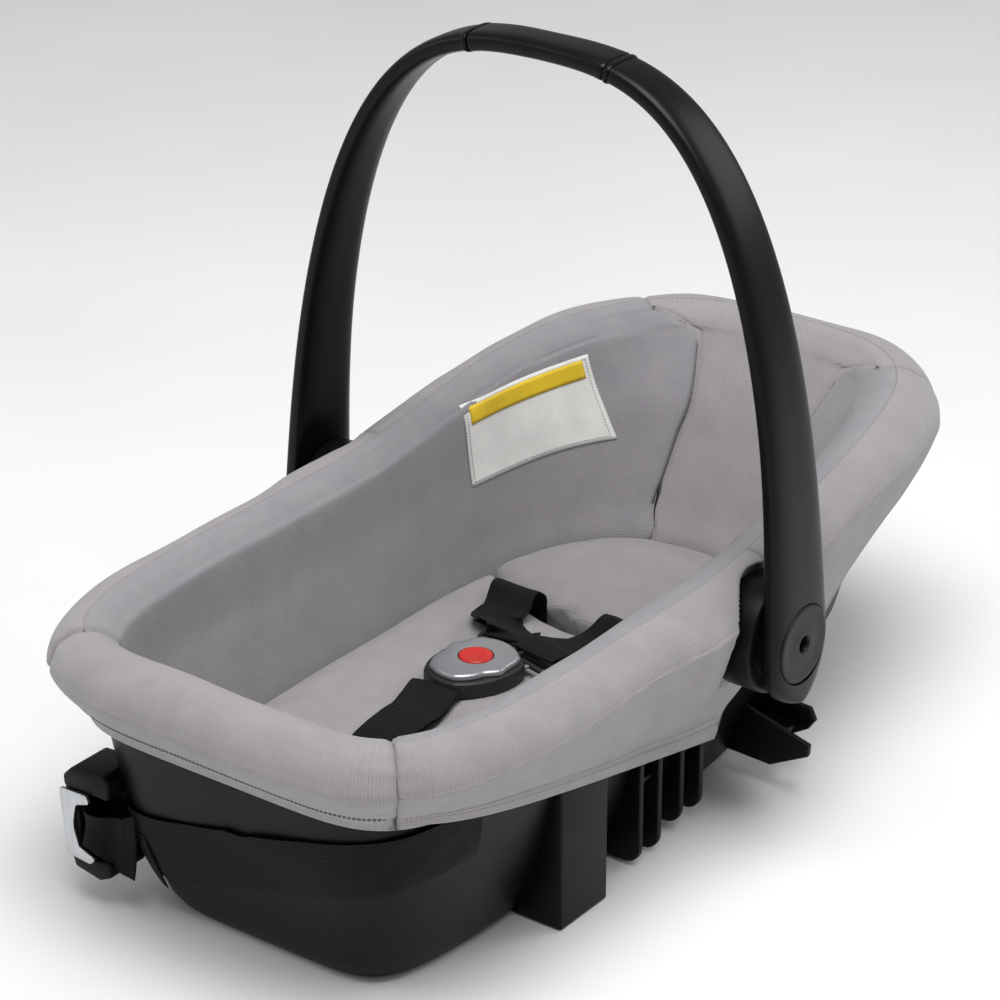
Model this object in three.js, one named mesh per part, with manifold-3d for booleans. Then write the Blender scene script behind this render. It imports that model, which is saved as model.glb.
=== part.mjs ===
// Infant car bed carrier: plastic tub, fabric cover, pads, harness and a folding carry handle.
// Millimetres, +Z up. The origin lies on the flat underside, midway between the handle pivots.
// +X is the right-hand side, +Y the head end, -Y the foot end.
import * as THREE from 'three';
import Module from 'manifold-3d';
import { mergeVertices } from 'three/addons/utils/BufferGeometryUtils.js';

const wasm = await Module();
wasm.setup();

// ---- driving dimensions ----
const GAP = 0.4; // between pieces that touch
const WALL = 4; // tub wall
const SIDES = 40; // points round a plan outline

const RIM = { w: 160, y0: -20, foot: 331, head: 344, nFoot: 5.8, nHead: 3.2 }; // roll centreline
const RIM_LOW = 206; // top of the fabric roll at the foot
const RIM_RISE = 33; // extra height at the head
const RISE_FROM = -60;
const RISE_TO = 240;
const ROLL_R = 25; // radius of the fabric roll
const HEAD_BULGE = 7; // extra roll radius round the head

const PIVOT_Z = 160;
const HUB_R = 40;
const HUB_IN = 168; // inner face of the fixed hub
const ARM_IN = 198; // inner face of the handle leg
const ARM_OUT = 215;
const LEG_W = 67; // leg width at the pivot
const TOP_W = 30; // handle width at the grip
const LEG_DROP = 43; // leg end below the pivot
const ARCH = { b: 581, z0: -38, n: 2.88 }; // outer curve of the handle
const GRIP_X = 59; // collars between arms and grip
const COLLAR = 4;
const SCREW_IN = 150; // inner end of the pivot screw
const SCREW_R = 4;

const SEAM_X = 128; // foot roll seams
const SPLIT_Y = 12; // side cover ends here, in front of the hub
const HEM_AT_SPLIT = 58;
const HEM_SLOPE = 0.265;

const PAD_TOP = 92;
const PAD_SPLIT = 48; // between seat pad and back pad

const WEB = 38; // harness webbing width
const WEB_T = 2.4;
const BUCKLE_Y = -80;
const BUCKLE_TURN = THREE.MathUtils.degToRad(-14);
const BUCKLE_Z = 99;
const BUCKLE_BUTTON_R = 12;
const CROTCH_Y = -203; // slot of the crotch strap

// handle joint, along X on the right-hand side
const HUB_OUT = 195.4; // outer face of the fixed hub
const HUB_FLOOR = 172;
const RING_R = 27; // fixed toothed ring
const GEAR_R = 21.5;
const GEAR_X = 187;
const GEAR_T = 15.2;
const POCKET_X = 202.6; // gear pocket in the leg
const RECESS_X = 206.4; // floor of the button recess
const BUTTON_R = 28;
const BUTTON_X = 211.4;
const BUTTON_T = 3.2;
const STEM_R = 12;
const STEM_X = 202.7;
const SPRING_L = 8;

// ---- materials ----
const finish = (color, roughness, metalness = 0) =>
  new THREE.MeshStandardMaterial({ color, roughness, metalness });
const blackPlastic = finish(0x1b1b1c, 0.5);
const handlePlastic = finish(0x161617, 0.45);
const greyFabric = finish(0x8e8b8c, 0.95);
const darkFabric = finish(0x5d5b5d, 0.95);
const webbing = finish(0x141415, 0.85);
const foamWhite = finish(0xe4e4e0, 0.9);
const silverPlastic = finish(0x9fa1a4, 0.35, 0.2);
const redPlastic = finish(0xc8372d, 0.4);
const steel = finish(0xb9bbbd, 0.3, 0.9);
const nylon = finish(0x2a2a2b, 0.6);

const seat = new THREE.Group();

// ---- small helpers ----
const smooth = (t) => {
  const c = Math.min(1, Math.max(0, t));
  return c * c * (3 - 2 * c);
};
const mix = (a, b, t) => a + (b - a) * t;
const signedPow = (v, e) => Math.sign(v) * Math.abs(v) ** e;

function add(name, geometry, material, parent = seat) {
  geometry.computeVertexNormals();
  const mesh = new THREE.Mesh(geometry, material);
  mesh.name = name;
  parent.add(mesh);
  return mesh;
}

function solid(geometry) {
  const bare = geometry.clone();
  bare.deleteAttribute('normal');
  bare.deleteAttribute('uv');
  const g = mergeVertices(bare, 1e-4);
  const vertProperties = new Float32Array(g.attributes.position.array);
  const triVerts = new Uint32Array(g.index.array);
  return new wasm.Manifold(new wasm.Mesh({ numProp: 3, vertProperties, triVerts }));
}

function geometryOf(manifold) {
  const mesh = manifold.getMesh();
  const g = new THREE.BufferGeometry();
  g.setAttribute('position', new THREE.BufferAttribute(new Float32Array(mesh.vertProperties), 3));
  g.setIndex(new THREE.BufferAttribute(new Uint32Array(mesh.triVerts), 1));
  return g;
}

// Rings of equal point count, skinned in order. Open lofts are capped at both ends,
// a closed loft joins its last ring to its first.
function loft(rings, closed = false) {
  const count = rings[0].length;
  const points = rings.flat();
  const index = [];
  const last = closed ? rings.length : rings.length - 1;
  for (let r = 0; r < last; r += 1) {
    const a = r * count;
    const b = ((r + 1) % rings.length) * count;
    for (let i = 0; i < count; i += 1) {
      const j = (i + 1) % count;
      index.push(a + i, a + j, b + j, a + i, b + j, b + i);
    }
  }
  if (!closed) {
    [0, rings.length - 1].forEach((r, end) => {
      const middle = new THREE.Vector3();
      rings[r].forEach((p) => middle.addScaledVector(p, 1 / count));
      points.push(middle);
      for (let i = 0; i < count; i += 1) {
        const a = r * count + i;
        const b = r * count + ((i + 1) % count);
        if (end) index.push(points.length - 1, a, b);
        else index.push(points.length - 1, b, a);
      }
    });
  }
  const g = new THREE.BufferGeometry().setFromPoints(points);
  g.setIndex(index);
  return volume(g) < 0 ? flipped(g) : g;
}

function volume(g) {
  const p = g.attributes.position;
  const [a, b, c] = [new THREE.Vector3(), new THREE.Vector3(), new THREE.Vector3()];
  let sum = 0;
  for (let i = 0; i < g.index.count; i += 3) {
    a.fromBufferAttribute(p, g.index.getX(i));
    b.fromBufferAttribute(p, g.index.getX(i + 1));
    c.fromBufferAttribute(p, g.index.getX(i + 2));
    sum += a.dot(b.cross(c));
  }
  return sum;
}

function flipped(g) {
  const plain = Array.from({ length: g.attributes.position.count }, (_, i) => i);
  const order = g.index ? Array.from(g.index.array) : plain;
  for (let i = 0; i < order.length; i += 3) [order[i], order[i + 1]] = [order[i + 1], order[i]];
  g.setIndex(order);
  return g;
}

const box = (x0, x1, y0, y1, z0, z1) =>
  new THREE.BoxGeometry(x1 - x0, y1 - y0, z1 - z0)
    .translate((x0 + x1) / 2, (y0 + y1) / 2, (z0 + z1) / 2);

// A disc or bar of round section along X, centred on the pivot axis.
const pivotDisc = (x0, x1, r, sides = 32) =>
  new THREE.CylinderGeometry(r, r, x1 - x0, sides)
    .rotateZ(Math.PI / 2).translate((x0 + x1) / 2, 0, PIVOT_Z);

const zDisc = (x, y, z0, z1, r, sides = 24) =>
  new THREE.CylinderGeometry(r, r, z1 - z0, sides)
    .rotateX(Math.PI / 2).translate(x, y, (z0 + z1) / 2);

const mirrored = (g) => flipped(g.clone().scale(-1, 1, 1));

const cut = (base, ...tools) =>
  geometryOf(tools.reduce((rest, tool) => rest.subtract(solid(tool)), solid(base)));

// The largest connected surface, without the slivers, crumbs and sealed pockets a trim leaves.
const mainBody = (g) => geometryOf(solid(g).decompose()
  .reduce((best, part) => (part.volume() > best.volume() ? part : best)).simplify(0.02));

const join = (...parts) =>
  geometryOf(parts.map(solid).reduce((sum, part) => sum.add(part)));

const keep = (base, tool) => geometryOf(solid(base).intersect(solid(tool)));

// A thickened outline: points in a plane, extruded along the third axis.
function plate(outline, thick) {
  const shape = new THREE.Shape(outline.map(([a, b]) => new THREE.Vector2(a, b)));
  return new THREE.ExtrudeGeometry(shape, { depth: thick, bevelEnabled: false });
}
// Outline in X and Z, thickness along Y from y0.
const plateY = (outline, y0, y1) =>
  plate(outline, y1 - y0).rotateX(Math.PI / 2).translate(0, y1, 0);

// ---- plan outline: rounded oblong at the foot, fuller ellipse at the head ----
function outlinePoint(o, angle) {
  const c = Math.cos(angle);
  const s = Math.sin(angle);
  const n = s > 0 ? o.nHead : o.nFoot;
  return new THREE.Vector2(
    o.w * signedPow(c, 2 / n),
    o.y0 + (s > 0 ? o.head : o.foot) * signedPow(s, 2 / n),
  );
}

// Angles give evenly spaced points along the outline, starting on the +X side.
function evenAngles(o, count, from = 0, to = 2 * Math.PI) {
  const fine = 1440;
  const lengths = [0];
  let before = outlinePoint(o, from);
  for (let i = 1; i <= fine; i += 1) {
    const point = outlinePoint(o, mix(from, to, i / fine));
    lengths.push(lengths[i - 1] + point.distanceTo(before));
    before = point;
  }
  const total = lengths[fine];
  const angles = [];
  let i = 0;
  for (let k = 0; k < count; k += 1) {
    const goal = (total * k) / (count - (to - from < 2 * Math.PI ? 1 : 0));
    while (i < fine && lengths[i + 1] < goal) i += 1;
    angles.push(mix(from, to, i / fine));
  }
  return angles;
}

const ringAngles = evenAngles(RIM, SIDES);
const rimTop = (y) => RIM_LOW + RIM_RISE * smooth((y - RISE_FROM) / (RISE_TO - RISE_FROM));
const hemZ = (y) => (y < SPLIT_Y ? HEM_AT_SPLIT + HEM_SLOPE * (SPLIT_Y - Math.max(y, -315))
  : 72 + 62 * smooth((y - 100) / 120));

// ---- tub: level outlines from the underside to the rim ----
const LEVELS = [
  // z, half width, foot length, head length
  [0, 98, 284, 196],
  [4, 107, 291, 228],
  [12, 112, 296, 256],
  [30, 119, 302, 290],
  [60, 129, 309, 322],
  [100, 138, 317, 340],
  [150, 147, 323, 347],
  [190, 151, 325, 347],
];
const TUB_RIM_DROP = 18; // tub rim below the top of the fabric roll

function tubOutline(z) {
  let k = 0;
  while (k < LEVELS.length - 2 && z > LEVELS[k + 1][0]) k += 1;
  const t = (z - LEVELS[k][0]) / (LEVELS[k + 1][0] - LEVELS[k][0]);
  const [, w, foot, head] = LEVELS[k].map((v, i) => mix(v, LEVELS[k + 1][i], t));
  return { w, y0: -20, foot, head, nFoot: 6.5, nHead: 2.8 };
}

function tubRing(z, inset, headInset = 0) {
  const o = tubOutline(z);
  const inner = { ...o, w: o.w - inset, foot: o.foot - inset, head: o.head - inset - headInset };
  return ringAngles.map((angle) => {
    const p = outlinePoint(inner, angle);
    const rise = (rimTop(p.y) - TUB_RIM_DROP) / 190;
    const lift = 1 + (rise - 1) * smooth(z / 190);
    return new THREE.Vector3(p.x, p.y, z * lift);
  });
}

// Inside of the tub, from the rim down: lower rings are raised so that the wall keeps its
// thickness where it slopes.
function innerRings(inset) {
  return [190, 150, 100, 60, 30, 12, 4].map((z) => {
    const raise = 5 * (1 - smooth(z / 110));
    return tubRing(z, inset + (z < 5 ? 3 : 0)).map((p) => new THREE.Vector3(p.x, p.y, p.z + raise));
  });
}

const tubShell = () => loft([...LEVELS.map(([z]) => tubRing(z, 0)), ...innerRings(WALL)]);

const LEG_X = 145; // outer face of the box legs
const LEG_Y = [-181, -128];
const RIBS = [-84.5, -62, -32, -8]; // stiffening ribs across each side
const RIB_T = 5;
const RIB_X = 141;
const WING_Y = [66, 90]; // belt guide wings

function roundedCorner(x0, x1, z0, z1, r) {
  const points = [[x0, z1], [x0, z0]];
  for (let i = 0; i <= 5; i += 1) {
    const a = -Math.PI / 2 + (i / 5) * (Math.PI / 2);
    points.push([x1 - r + r * Math.cos(a), z0 + r + r * Math.sin(a)]);
  }
  points.push([x1, z1]);
  return points;
}

// Legs, ribs, belt wings and hub posts that stand out of the tub wall, on the right side.
// With a margin they become the tool that keeps other pieces clear of them.
function footings(m = 0) {
  const parts = [box(92, LEG_X + m, LEG_Y[0] - m, LEG_Y[1] + m, 0, 112 + m)];
  RIBS.forEach((y, i) => {
    const outline = roundedCorner(95, RIB_X - (i > 1 ? 2 : 0) + m, i < 2 ? 2 : 8, 96 + m, 12);
    parts.push(plateY(outline, y - m, y + RIB_T + m));
  });
  const wing = [[95, 16 - m], [152, 15 - m], [181 + m, 32], [181 + m, 41 + m], [130, 55 + m],
    [95, 62 + m]];
  parts.push(plateY(wing, WING_Y[0] - m, WING_Y[0] + RIB_T + m));
  const lobe = [[95, 24 - m], [130, 20 - m], [166 + m, 39], [172 + m, 47], [167, 56 + m],
    [149, 57 + m], [95, 66 + m]];
  parts.push(plateY(lobe, WING_Y[1] - m, WING_Y[1] + RIB_T + m));
  parts.push(box(112, 158 + m, WING_Y[0] + 4, WING_Y[1] + 1, 38 - m, 43 + m));
  parts.push(box(120, HUB_IN - GAP + m, -26 - m, 26 + m, PIVOT_Z - 26 - m, PIVOT_Z + 18 + m));
  return parts;
}

const bothSides = (parts) => parts.flatMap((g) => [g, mirrored(g)]);

function shell() {
  const outside = [tubShell(), ...bothSides(footings())];
  const whole = outside.map(solid).reduce((sum, part) => sum.add(part));
  const bores = bothSides([pivotDisc(SCREW_IN - GAP, 180, SCREW_R + GAP, 20)]);
  return cut(geometryOf(whole), tubCavity(), ...bores);
}

// The clear space inside the tub walls, above the floor.
function tubCavity() {
  const rings = innerRings(WALL);
  const above = rings[0].map((p) => new THREE.Vector3(p.x, p.y, p.z + 60));
  return loft([above, ...rings]);
}

// ---- foam liner between the tub and the fabric lining ----
const LINER_T = 4;
const WALL_LEVELS = [184, 150, 100, 66]; // shared by the liner, the lining and the pads
// The liner is thicker at the head end, where its inner wall slopes back.
const headSlope = (z) => Math.min(96, Math.max(22, 94 - 0.68 * (z - 92)));
const innerWall = (z, inset) => tubRing(z, inset, headSlope(z));
function foamLiner() {
  const outset = WALL + 0.9;
  const top = 186;
  const outer = [top, ...[150, 100, 60, 30, 12]].map((z) => {
    const raise = 6 * (1 - smooth(z / 110));
    return tubRing(z, outset).map((p) => new THREE.Vector3(p.x, p.y, p.z + raise));
  }).reverse();
  const inner = [top, ...WALL_LEVELS].map((z) => innerWall(z, outset + LINER_T));
  const floor = innerWall(60, outset + LINER_T + 4).map((p) => new THREE.Vector3(p.x, p.y, 58));
  const shaped = loft([...outer, ...inner, floor]);
  const strapSlots = [-1, 1].map((s) => box(s * 52 - 28, s * 52 + 28, 38, 58, 0, 80));
  const crotchSlot = box(-28, 28, CROTCH_Y - 10, CROTCH_Y + 10, 0, 80);
  return cut(shaped, ...strapSlots, crotchSlot);
}

// ---- fabric lining of the inner walls, in three panels ----
const LINING_T = 3;
function liningBand() {
  const near = WALL + LINER_T + 2.4;
  const outer = [...WALL_LEVELS].reverse().map((z) => innerWall(z, near));
  const inner = WALL_LEVELS.map((z) => innerWall(z, near + LINING_T));
  return loft([...outer, ...inner], true);
}

// ---- fabric roll and skirt: one section swept along the rim ----
// The section runs round the roll and down the outside to the hem.
function coverSection(angle) {
  const p = outlinePoint(RIM, angle);
  const q = outlinePoint(RIM, angle + 0.002);
  const outward = new THREE.Vector2(q.y - p.y, p.x - q.x).normalize();
  const head = smooth((p.y - 120) / 160);
  const r = ROLL_R + HEAD_BULGE * head;
  const top = rimTop(p.y);
  const centre = top - r;
  const hem = hemZ(p.y);
  const tubAt = (z) => {
    const o = tubOutline(Math.min(z, 190));
    const wide = outlinePoint(o, angle);
    return Math.max((wide.x - p.x) * outward.x + (wide.y - p.y) * outward.y, -34);
  };
  const section = [];
  const inside = -(WALL + LINER_T) - 2;
  section.push([inside, top - TUB_RIM_DROP + 1]);
  for (let i = 0; i <= 8; i += 1) {
    const a = Math.PI - (i / 8) * Math.PI * 1.05;
    section.push([r * Math.cos(a), centre + r * Math.sin(a)]);
  }
  const hug = tubAt(hem) + 5;
  section.push([mix(r, hug, mix(0.42, 0.2, head)), mix(centre, hem, mix(0.55, 0.42, head))]);
  section.push([mix(r, hug, mix(0.75, 0.5, head)), mix(centre, hem, mix(0.8, 0.75, head))]);
  section.push([hug + 5, hem]);
  section.push([hug - 2.5, hem + 1]);
  section.push([mix(r, hug, 0.42) - 7, mix(centre, hem, 0.5)]);
  const under = tubAt(top - TUB_RIM_DROP) + 1.6;
  section.push([Math.max(under, -9), centre - r * 0.2]);
  section.push([Math.max(under, -9), top - TUB_RIM_DROP + 1]);
  return section.map(([d, z]) =>
    new THREE.Vector3(p.x + outward.x * d, p.y + outward.y * d, z));
}

function coverSweep(from, to, steps) {
  const rings = evenAngles(RIM, steps, from, to).map(coverSection);
  return loft(rings);
}

// First angle between the two given where the rim centreline passes the test.
function angleAt(test, from, to) {
  const steps = 2000;
  for (let i = 0; i <= steps; i += 1) {
    const angle = mix(from, to, i / steps);
    if (test(outlinePoint(RIM, angle))) return angle;
  }
  return to;
}

// ---- tub, liner and fabric cover ----
const QUARTER = Math.PI / 2;
const SEAM_GAP = 0.0016; // radians either side of a seam
const footSeam = angleAt((p) => p.x <= SEAM_X, 0, -QUARTER);
const sideSplit = angleAt((p) => p.y >= SPLIT_Y, -0.5, QUARTER);

add('shell', shell(), blackPlastic);
const liner = foamLiner();
add('foam_liner', liner, foamWhite);

const raised = (ring, rise) => ring.map((p) => new THREE.Vector3(p.x, p.y, p.z + rise));
const aroundTub = loft([...LEVELS.map(([z]) => tubRing(z, -0.9)),
  raised(tubRing(190, -0.9), 2), raised(tubRing(190, WALL + LINER_T + 4), 2)]);
const hubRoom = bothSides([pivotDisc(HUB_IN - 1, 240, HUB_R + 3)]);
const belt = footBelt(0);
const coverTools = [...hubRoom, aroundTub, ...bothSides(footings(0.8)), liner, footBelt(1.2)];
const coverPiece = (from, to, steps) =>
  mainBody(cut(coverSweep(from + SEAM_GAP, to - SEAM_GAP, steps), ...coverTools));

add('cover_foot', coverPiece(-Math.PI - footSeam, footSeam, 15), greyFabric);
add('cover_side_right', coverPiece(footSeam, sideSplit, 17), greyFabric);
add('cover_side_left', coverPiece(Math.PI - sideSplit, Math.PI - footSeam, 17), greyFabric);
add('cover_head', coverPiece(sideSplit, Math.PI - sideSplit, 33), greyFabric);

// ---- fabric lining of the inner walls, in four panels ----
const lining = liningBand();
const HEAD_SEAM_Y = 215;
const FOOT_LINING_Y = -300;
const big = 400;
add('lining_head', keep(lining, box(-big, big, HEAD_SEAM_Y, big, 0, big)), greyFabric);
add('lining_foot', keep(lining, box(-big, big, -big, FOOT_LINING_Y, 0, big)), greyFabric);
[['lining_right', 1, big], ['lining_left', -big, -1]].forEach(([name, x0, x1]) => {
  const side = box(x0, x1, FOOT_LINING_Y + GAP, HEAD_SEAM_Y - GAP, 0, big);
  add(name, keep(lining, side), darkFabric);
});

// ---- pads ----
function padBlank() {
  const inset = WALL + LINER_T + LINING_T + 3;
  const ring = (z, extra) => innerWall(z, inset + extra);
  return loft([ring(60, 14), ring(66, 5), ring(80, 1), ring(88, 3), ring(PAD_TOP, 14),
    ring(PAD_TOP + 3, 45)]);
}
const pad = padBlank();
const STRAP_GAP = 3.5; // half the slit between the pads
const crotchSlit = box(-WEB / 2 - 3, WEB / 2 + 3, CROTCH_Y - 5, CROTCH_Y + 6, 0, 120);
add('seat_pad', cut(pad, box(-big, big, PAD_SPLIT - STRAP_GAP, big, 0, big), crotchSlit),
  greyFabric);
add('back_pad', cut(pad, box(-big, big, -big, PAD_SPLIT + STRAP_GAP, 0, big)), greyFabric);

// ---- handle ----
const archA = 218.6;
function archOuter(angle) {
  return new THREE.Vector2(
    archA * signedPow(Math.cos(angle), 2 / ARCH.n),
    ARCH.z0 + ARCH.b * signedPow(Math.sin(angle), 2 / ARCH.n),
  );
}
const pivotAngle = Math.asin(((PIVOT_Z - ARCH.z0) / ARCH.b) ** (ARCH.n / 2));
const archSteps = 60;
const archPoints = Array.from({ length: archSteps + 1 }, (_, i) =>
  archOuter(mix(pivotAngle, QUARTER, (i / archSteps) ** 0.9)));
const archLengths = archPoints.map(((sum) => (p, i) => {
  sum += i ? p.distanceTo(archPoints[i - 1]) : 0;
  return sum;
})(0));
const archLength = archLengths[archSteps];

// Point, inward direction, width and thickness at a distance along the arch from the pivot.
function archStation(distance) {
  let i = 1;
  while (i < archSteps && archLengths[i] < distance) i += 1;
  const t = (distance - archLengths[i - 1]) / (archLengths[i] - archLengths[i - 1]);
  const p = archPoints[i - 1].clone().lerp(archPoints[i], t);
  const along = archPoints[i].clone().sub(archPoints[i - 1]).normalize();
  if (distance > archLength - 1) along.set(-1, 0);
  const share = distance / archLength;
  return { p, inward: new THREE.Vector2(-along.y, along.x), w: mix(LEG_W, TOP_W, share ** 0.85),
    t: mix(ARM_OUT - ARM_IN, 14, smooth(share * 3)) };
}

function handleRing(station, grow = 0) {
  const centre = station.p.clone().addScaledVector(station.inward, station.t / 2);
  const ring = [];
  const sides = 14;
  for (let i = 0; i < sides; i += 1) {
    const a = (i / sides) * 2 * Math.PI;
    const y = (station.w / 2 + grow) * signedPow(Math.cos(a), 0.6);
    const d = (station.t / 2 + grow) * signedPow(Math.sin(a), 0.6);
    ring.push(new THREE.Vector3(
      centre.x - station.inward.x * d, y, centre.y - station.inward.y * d));
  }
  return ring;
}

function handleArm() {
  const rings = [];
  const foot = archStation(0);
  for (let k = 1; k <= 5; k += 1) {
    const a = QUARTER * (1 - k / 5.5);
    const p = foot.p.clone();
    p.set(ARM_OUT, PIVOT_Z - LEG_DROP * Math.sin(a));
    rings.push(handleRing({ ...foot, p, inward: new THREE.Vector2(-1, 0),
      w: LEG_W * Math.cos(a) ** 0.9 }));
  }
  const end = archLength - GRIP_X - COLLAR / 2 - GAP;
  const steps = 15;
  for (let k = 0; k <= steps; k += 1) {
    const station = archStation(end * (k / steps));
    if (k === 0) station.inward.set(-1, 0);
    rings.push(handleRing(station));
  }
  const hubFace = pivotDisc(RECESS_X, 230, BUTTON_R + 0.6);
  const pocket = pivotDisc(180, POCKET_X, GEAR_R + 2.5);
  const bore = pivotDisc(180, 230, STEM_R + 0.7, 24);
  return cut(loft(rings), hubFace, pocket, bore);
}

// A stretch of the handle across the middle, between two distances either side of the top.
function handleMiddle(from, to, grow, steps) {
  const rings = [];
  for (let k = 0; k <= steps; k += 1) {
    const x = mix(from, to, k / steps);
    const ring = handleRing(archStation(archLength - Math.abs(x)), grow);
    rings.push(x < 0 ? ring.map((p) => new THREE.Vector3(-p.x, p.y, p.z)) : ring);
  }
  return loft(rings);
}

const arm = handleArm();
add('handle_arm_right', arm, handlePlastic);
add('handle_arm_left', mirrored(arm), handlePlastic);
const collar = handleMiddle(GRIP_X - COLLAR / 2, GRIP_X + COLLAR / 2, 0.9, 2);
add('grip_collar_right', collar, handlePlastic);
add('grip_collar_left', mirrored(collar), handlePlastic);
const gripEnd = GRIP_X - COLLAR / 2 - 3 * GAP;
add('handle_grip', handleMiddle(-gripEnd, gripEnd, 0.5, 14), handlePlastic);

// ---- handle joint on each side ----
const hub = cut(pivotDisc(HUB_IN, HUB_OUT, HUB_R),
  pivotDisc(HUB_FLOOR, 220, RING_R + GAP), pivotDisc(150, 220, SCREW_R + GAP, 20));

function toothed(x0, x1, rootR, tipR, bore) {
  const shape = new THREE.Shape();
  const teeth = 8;
  for (let i = 0; i < teeth; i += 1) {
    [[-0.32, rootR], [-0.14, tipR], [0.14, tipR], [0.32, rootR]].forEach(([turn, r], k) => {
      const a = ((i + turn) / teeth) * 2 * Math.PI;
      const move = i + k ? 'lineTo' : 'moveTo';
      shape[move](r * Math.cos(a), r * Math.sin(a));
    });
  }
  shape.closePath();
  if (bore) shape.holes.push(new THREE.Path().absarc(0, 0, bore, 0, 2 * Math.PI));
  return new THREE.ExtrudeGeometry(shape, { depth: x1 - x0, bevelEnabled: false,
    curveSegments: 10 }).rotateY(QUARTER).translate(x0, 0, PIVOT_Z);
}

const gear = toothed(GEAR_X, GEAR_X + GEAR_T, GEAR_R - 4, GEAR_R, SCREW_R + 0.6);
const lockRing = cut(pivotDisc(HUB_FLOOR + GAP, HUB_OUT - 1, RING_R, 24),
  toothed(HUB_FLOOR, 220, GEAR_R - 3.4, GEAR_R + 0.6, 0));
const button = cut(join(pivotDisc(BUTTON_X, BUTTON_X + BUTTON_T, BUTTON_R, 32),
  pivotDisc(STEM_X, BUTTON_X + 1, STEM_R, 24)), pivotDisc(190, 230, STEM_R - 5, 24));
const screw = join(pivotDisc(SCREW_IN, 205, SCREW_R, 16), pivotDisc(204, 208, STEM_R - 6, 20));

class Coil extends THREE.Curve {
  constructor(radius, turns, length) {
    super();
    Object.assign(this, { radius, turns, length });
  }

  getPoint(t, target = new THREE.Vector3()) {
    const a = t * this.turns * 2 * Math.PI;
    return target.set(this.radius * Math.cos(a), this.radius * Math.sin(a), t * this.length);
  }
}

function spring(radius, wire, turns, length) {
  const round = new THREE.Shape().absarc(0, 0, wire / 2, 0, 2 * Math.PI);
  return new THREE.ExtrudeGeometry(round, { steps: turns * 9, curveSegments: 2,
    bevelEnabled: false, extrudePath: new Coil(radius, turns, length) });
}
const lockSpring = spring(10, 1.6, 3, SPRING_L).rotateY(QUARTER)
  .translate(HUB_FLOOR + 1.4, 0, PIVOT_Z);

[['handle_hub', hub, blackPlastic], ['lock_ring', lockRing, nylon],
  ['lock_gear', gear, nylon], ['lock_spring', lockSpring, steel],
  ['release_button', button, handlePlastic], ['pivot_screw', screw, steel],
].forEach(([name, geometry, material]) => {
  add(`${name}_right`, geometry, material);
  add(`${name}_left`, mirrored(geometry), material);
});

// ---- harness webbing ----
// A flat ribbon through hand-placed points; `across` is the width direction.
function ribbon(route, across, width, thick, steps) {
  const curve = new THREE.CatmullRomCurve3(route.map(([x, y, z]) => new THREE.Vector3(x, y, z)));
  const wide = across.clone().normalize().multiplyScalar(width / 2);
  const rings = [];
  for (let k = 0; k <= steps; k += 1) {
    const t = k / steps;
    const p = curve.getPointAt(t);
    const normal = curve.getTangentAt(t).cross(across).normalize().multiplyScalar(thick / 2);
    rings.push([[1, 1], [-1, 1], [-1, -1], [1, -1]].map(([a, b]) =>
      p.clone().addScaledVector(wide, a).addScaledVector(normal, b)));
  }
  return loft(rings);
}

const strapRoute = [[52, PAD_SPLIT, 14], [52, PAD_SPLIT, 60], [52, PAD_SPLIT, 92],
  [50, 42, 108], [46, 24, 113], [40, 0, 106], [34, -20, 111], [27, -36, 113]];
const strapRight = ribbon(strapRoute, new THREE.Vector3(1, 0, 0), WEB, WEB_T, 30);
add('shoulder_strap_right', strapRight, webbing);
add('shoulder_strap_left', mirrored(strapRight), webbing);
const crotchRoute = [[0, CROTCH_Y, 14], [0, CROTCH_Y, 60], [0, CROTCH_Y, 90],
  [0, CROTCH_Y + 8, 102], [0, CROTCH_Y + 30, 104], [0, CROTCH_Y + 62, 106],
  [0, BUCKLE_Y - 38, 107]];
add('crotch_strap', ribbon(crotchRoute, new THREE.Vector3(1, 0, 0), WEB, WEB_T, 26), webbing);

const anchor = (x, y) => box(x - 27, x + 27, y - 9, y + 9, 10.5, 12.5);
add('anchor_plate_right', anchor(52, PAD_SPLIT), steel);
add('anchor_plate_left', anchor(-52, PAD_SPLIT), steel);
add('anchor_plate_crotch', anchor(0, CROTCH_Y), steel);

// ---- buckle, modelled round its own centre ----
const buckle = new THREE.Group();
buckle.position.set(-3, BUCKLE_Y, BUCKLE_Z);
buckle.rotation.z = BUCKLE_TURN;
seat.add(buckle);

// Shield outline, wide towards the head.
function shield(grow) {
  const points = [[-16, -31], [16, -31], [27, -12], [29, 8], [23, 27], [-23, 27], [-29, 8],
    [-27, -12]];
  return points.map(([x, y]) => [x + Math.sign(x) * grow, y + Math.sign(y) * grow]);
}
const slab = (outline, z0, z1) => plate(outline, z1 - z0).translate(0, 0, z0);
const tongueSlots = [1, -1].map((s) => box(s * 14 - 10, s * 14 + 10, 4, 40, 6, 9.6));
const buttonWell = zDisc(0, 2, 3, 30, BUCKLE_BUTTON_R + 0.6);
add('buckle_body', cut(slab(shield(1), 0, 13), ...tongueSlots, buttonWell), nylon, buckle);
add('buckle_cover', cut(slab(shield(-1), 13.4, 18), buttonWell), silverPlastic, buckle);
add('buckle_button', zDisc(0, 2, 9, 19.2, BUCKLE_BUTTON_R), redPlastic, buckle);
add('buckle_spring', spring(8, 1.4, 2, 1.3).translate(0, 2, 3.8), steel, buckle);
[['tongue_right', 14], ['tongue_left', -14]].forEach(([name, x]) => {
  const blade = box(x - 9, x + 9, 14.5, 34, 6.8, 8.8);
  const loop = cut(box(x - 24, x + 24, 32, 46, 5.6, 10), box(x - 20, x + 20, 36, 41, 0, 20));
  const side = box(x > 0 ? 1 : -60, x > 0 ? 60 : -1, -40, 60, 0, 20);
  add(name, keep(join(blade, loop), side), nylon, buckle);
});

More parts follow.
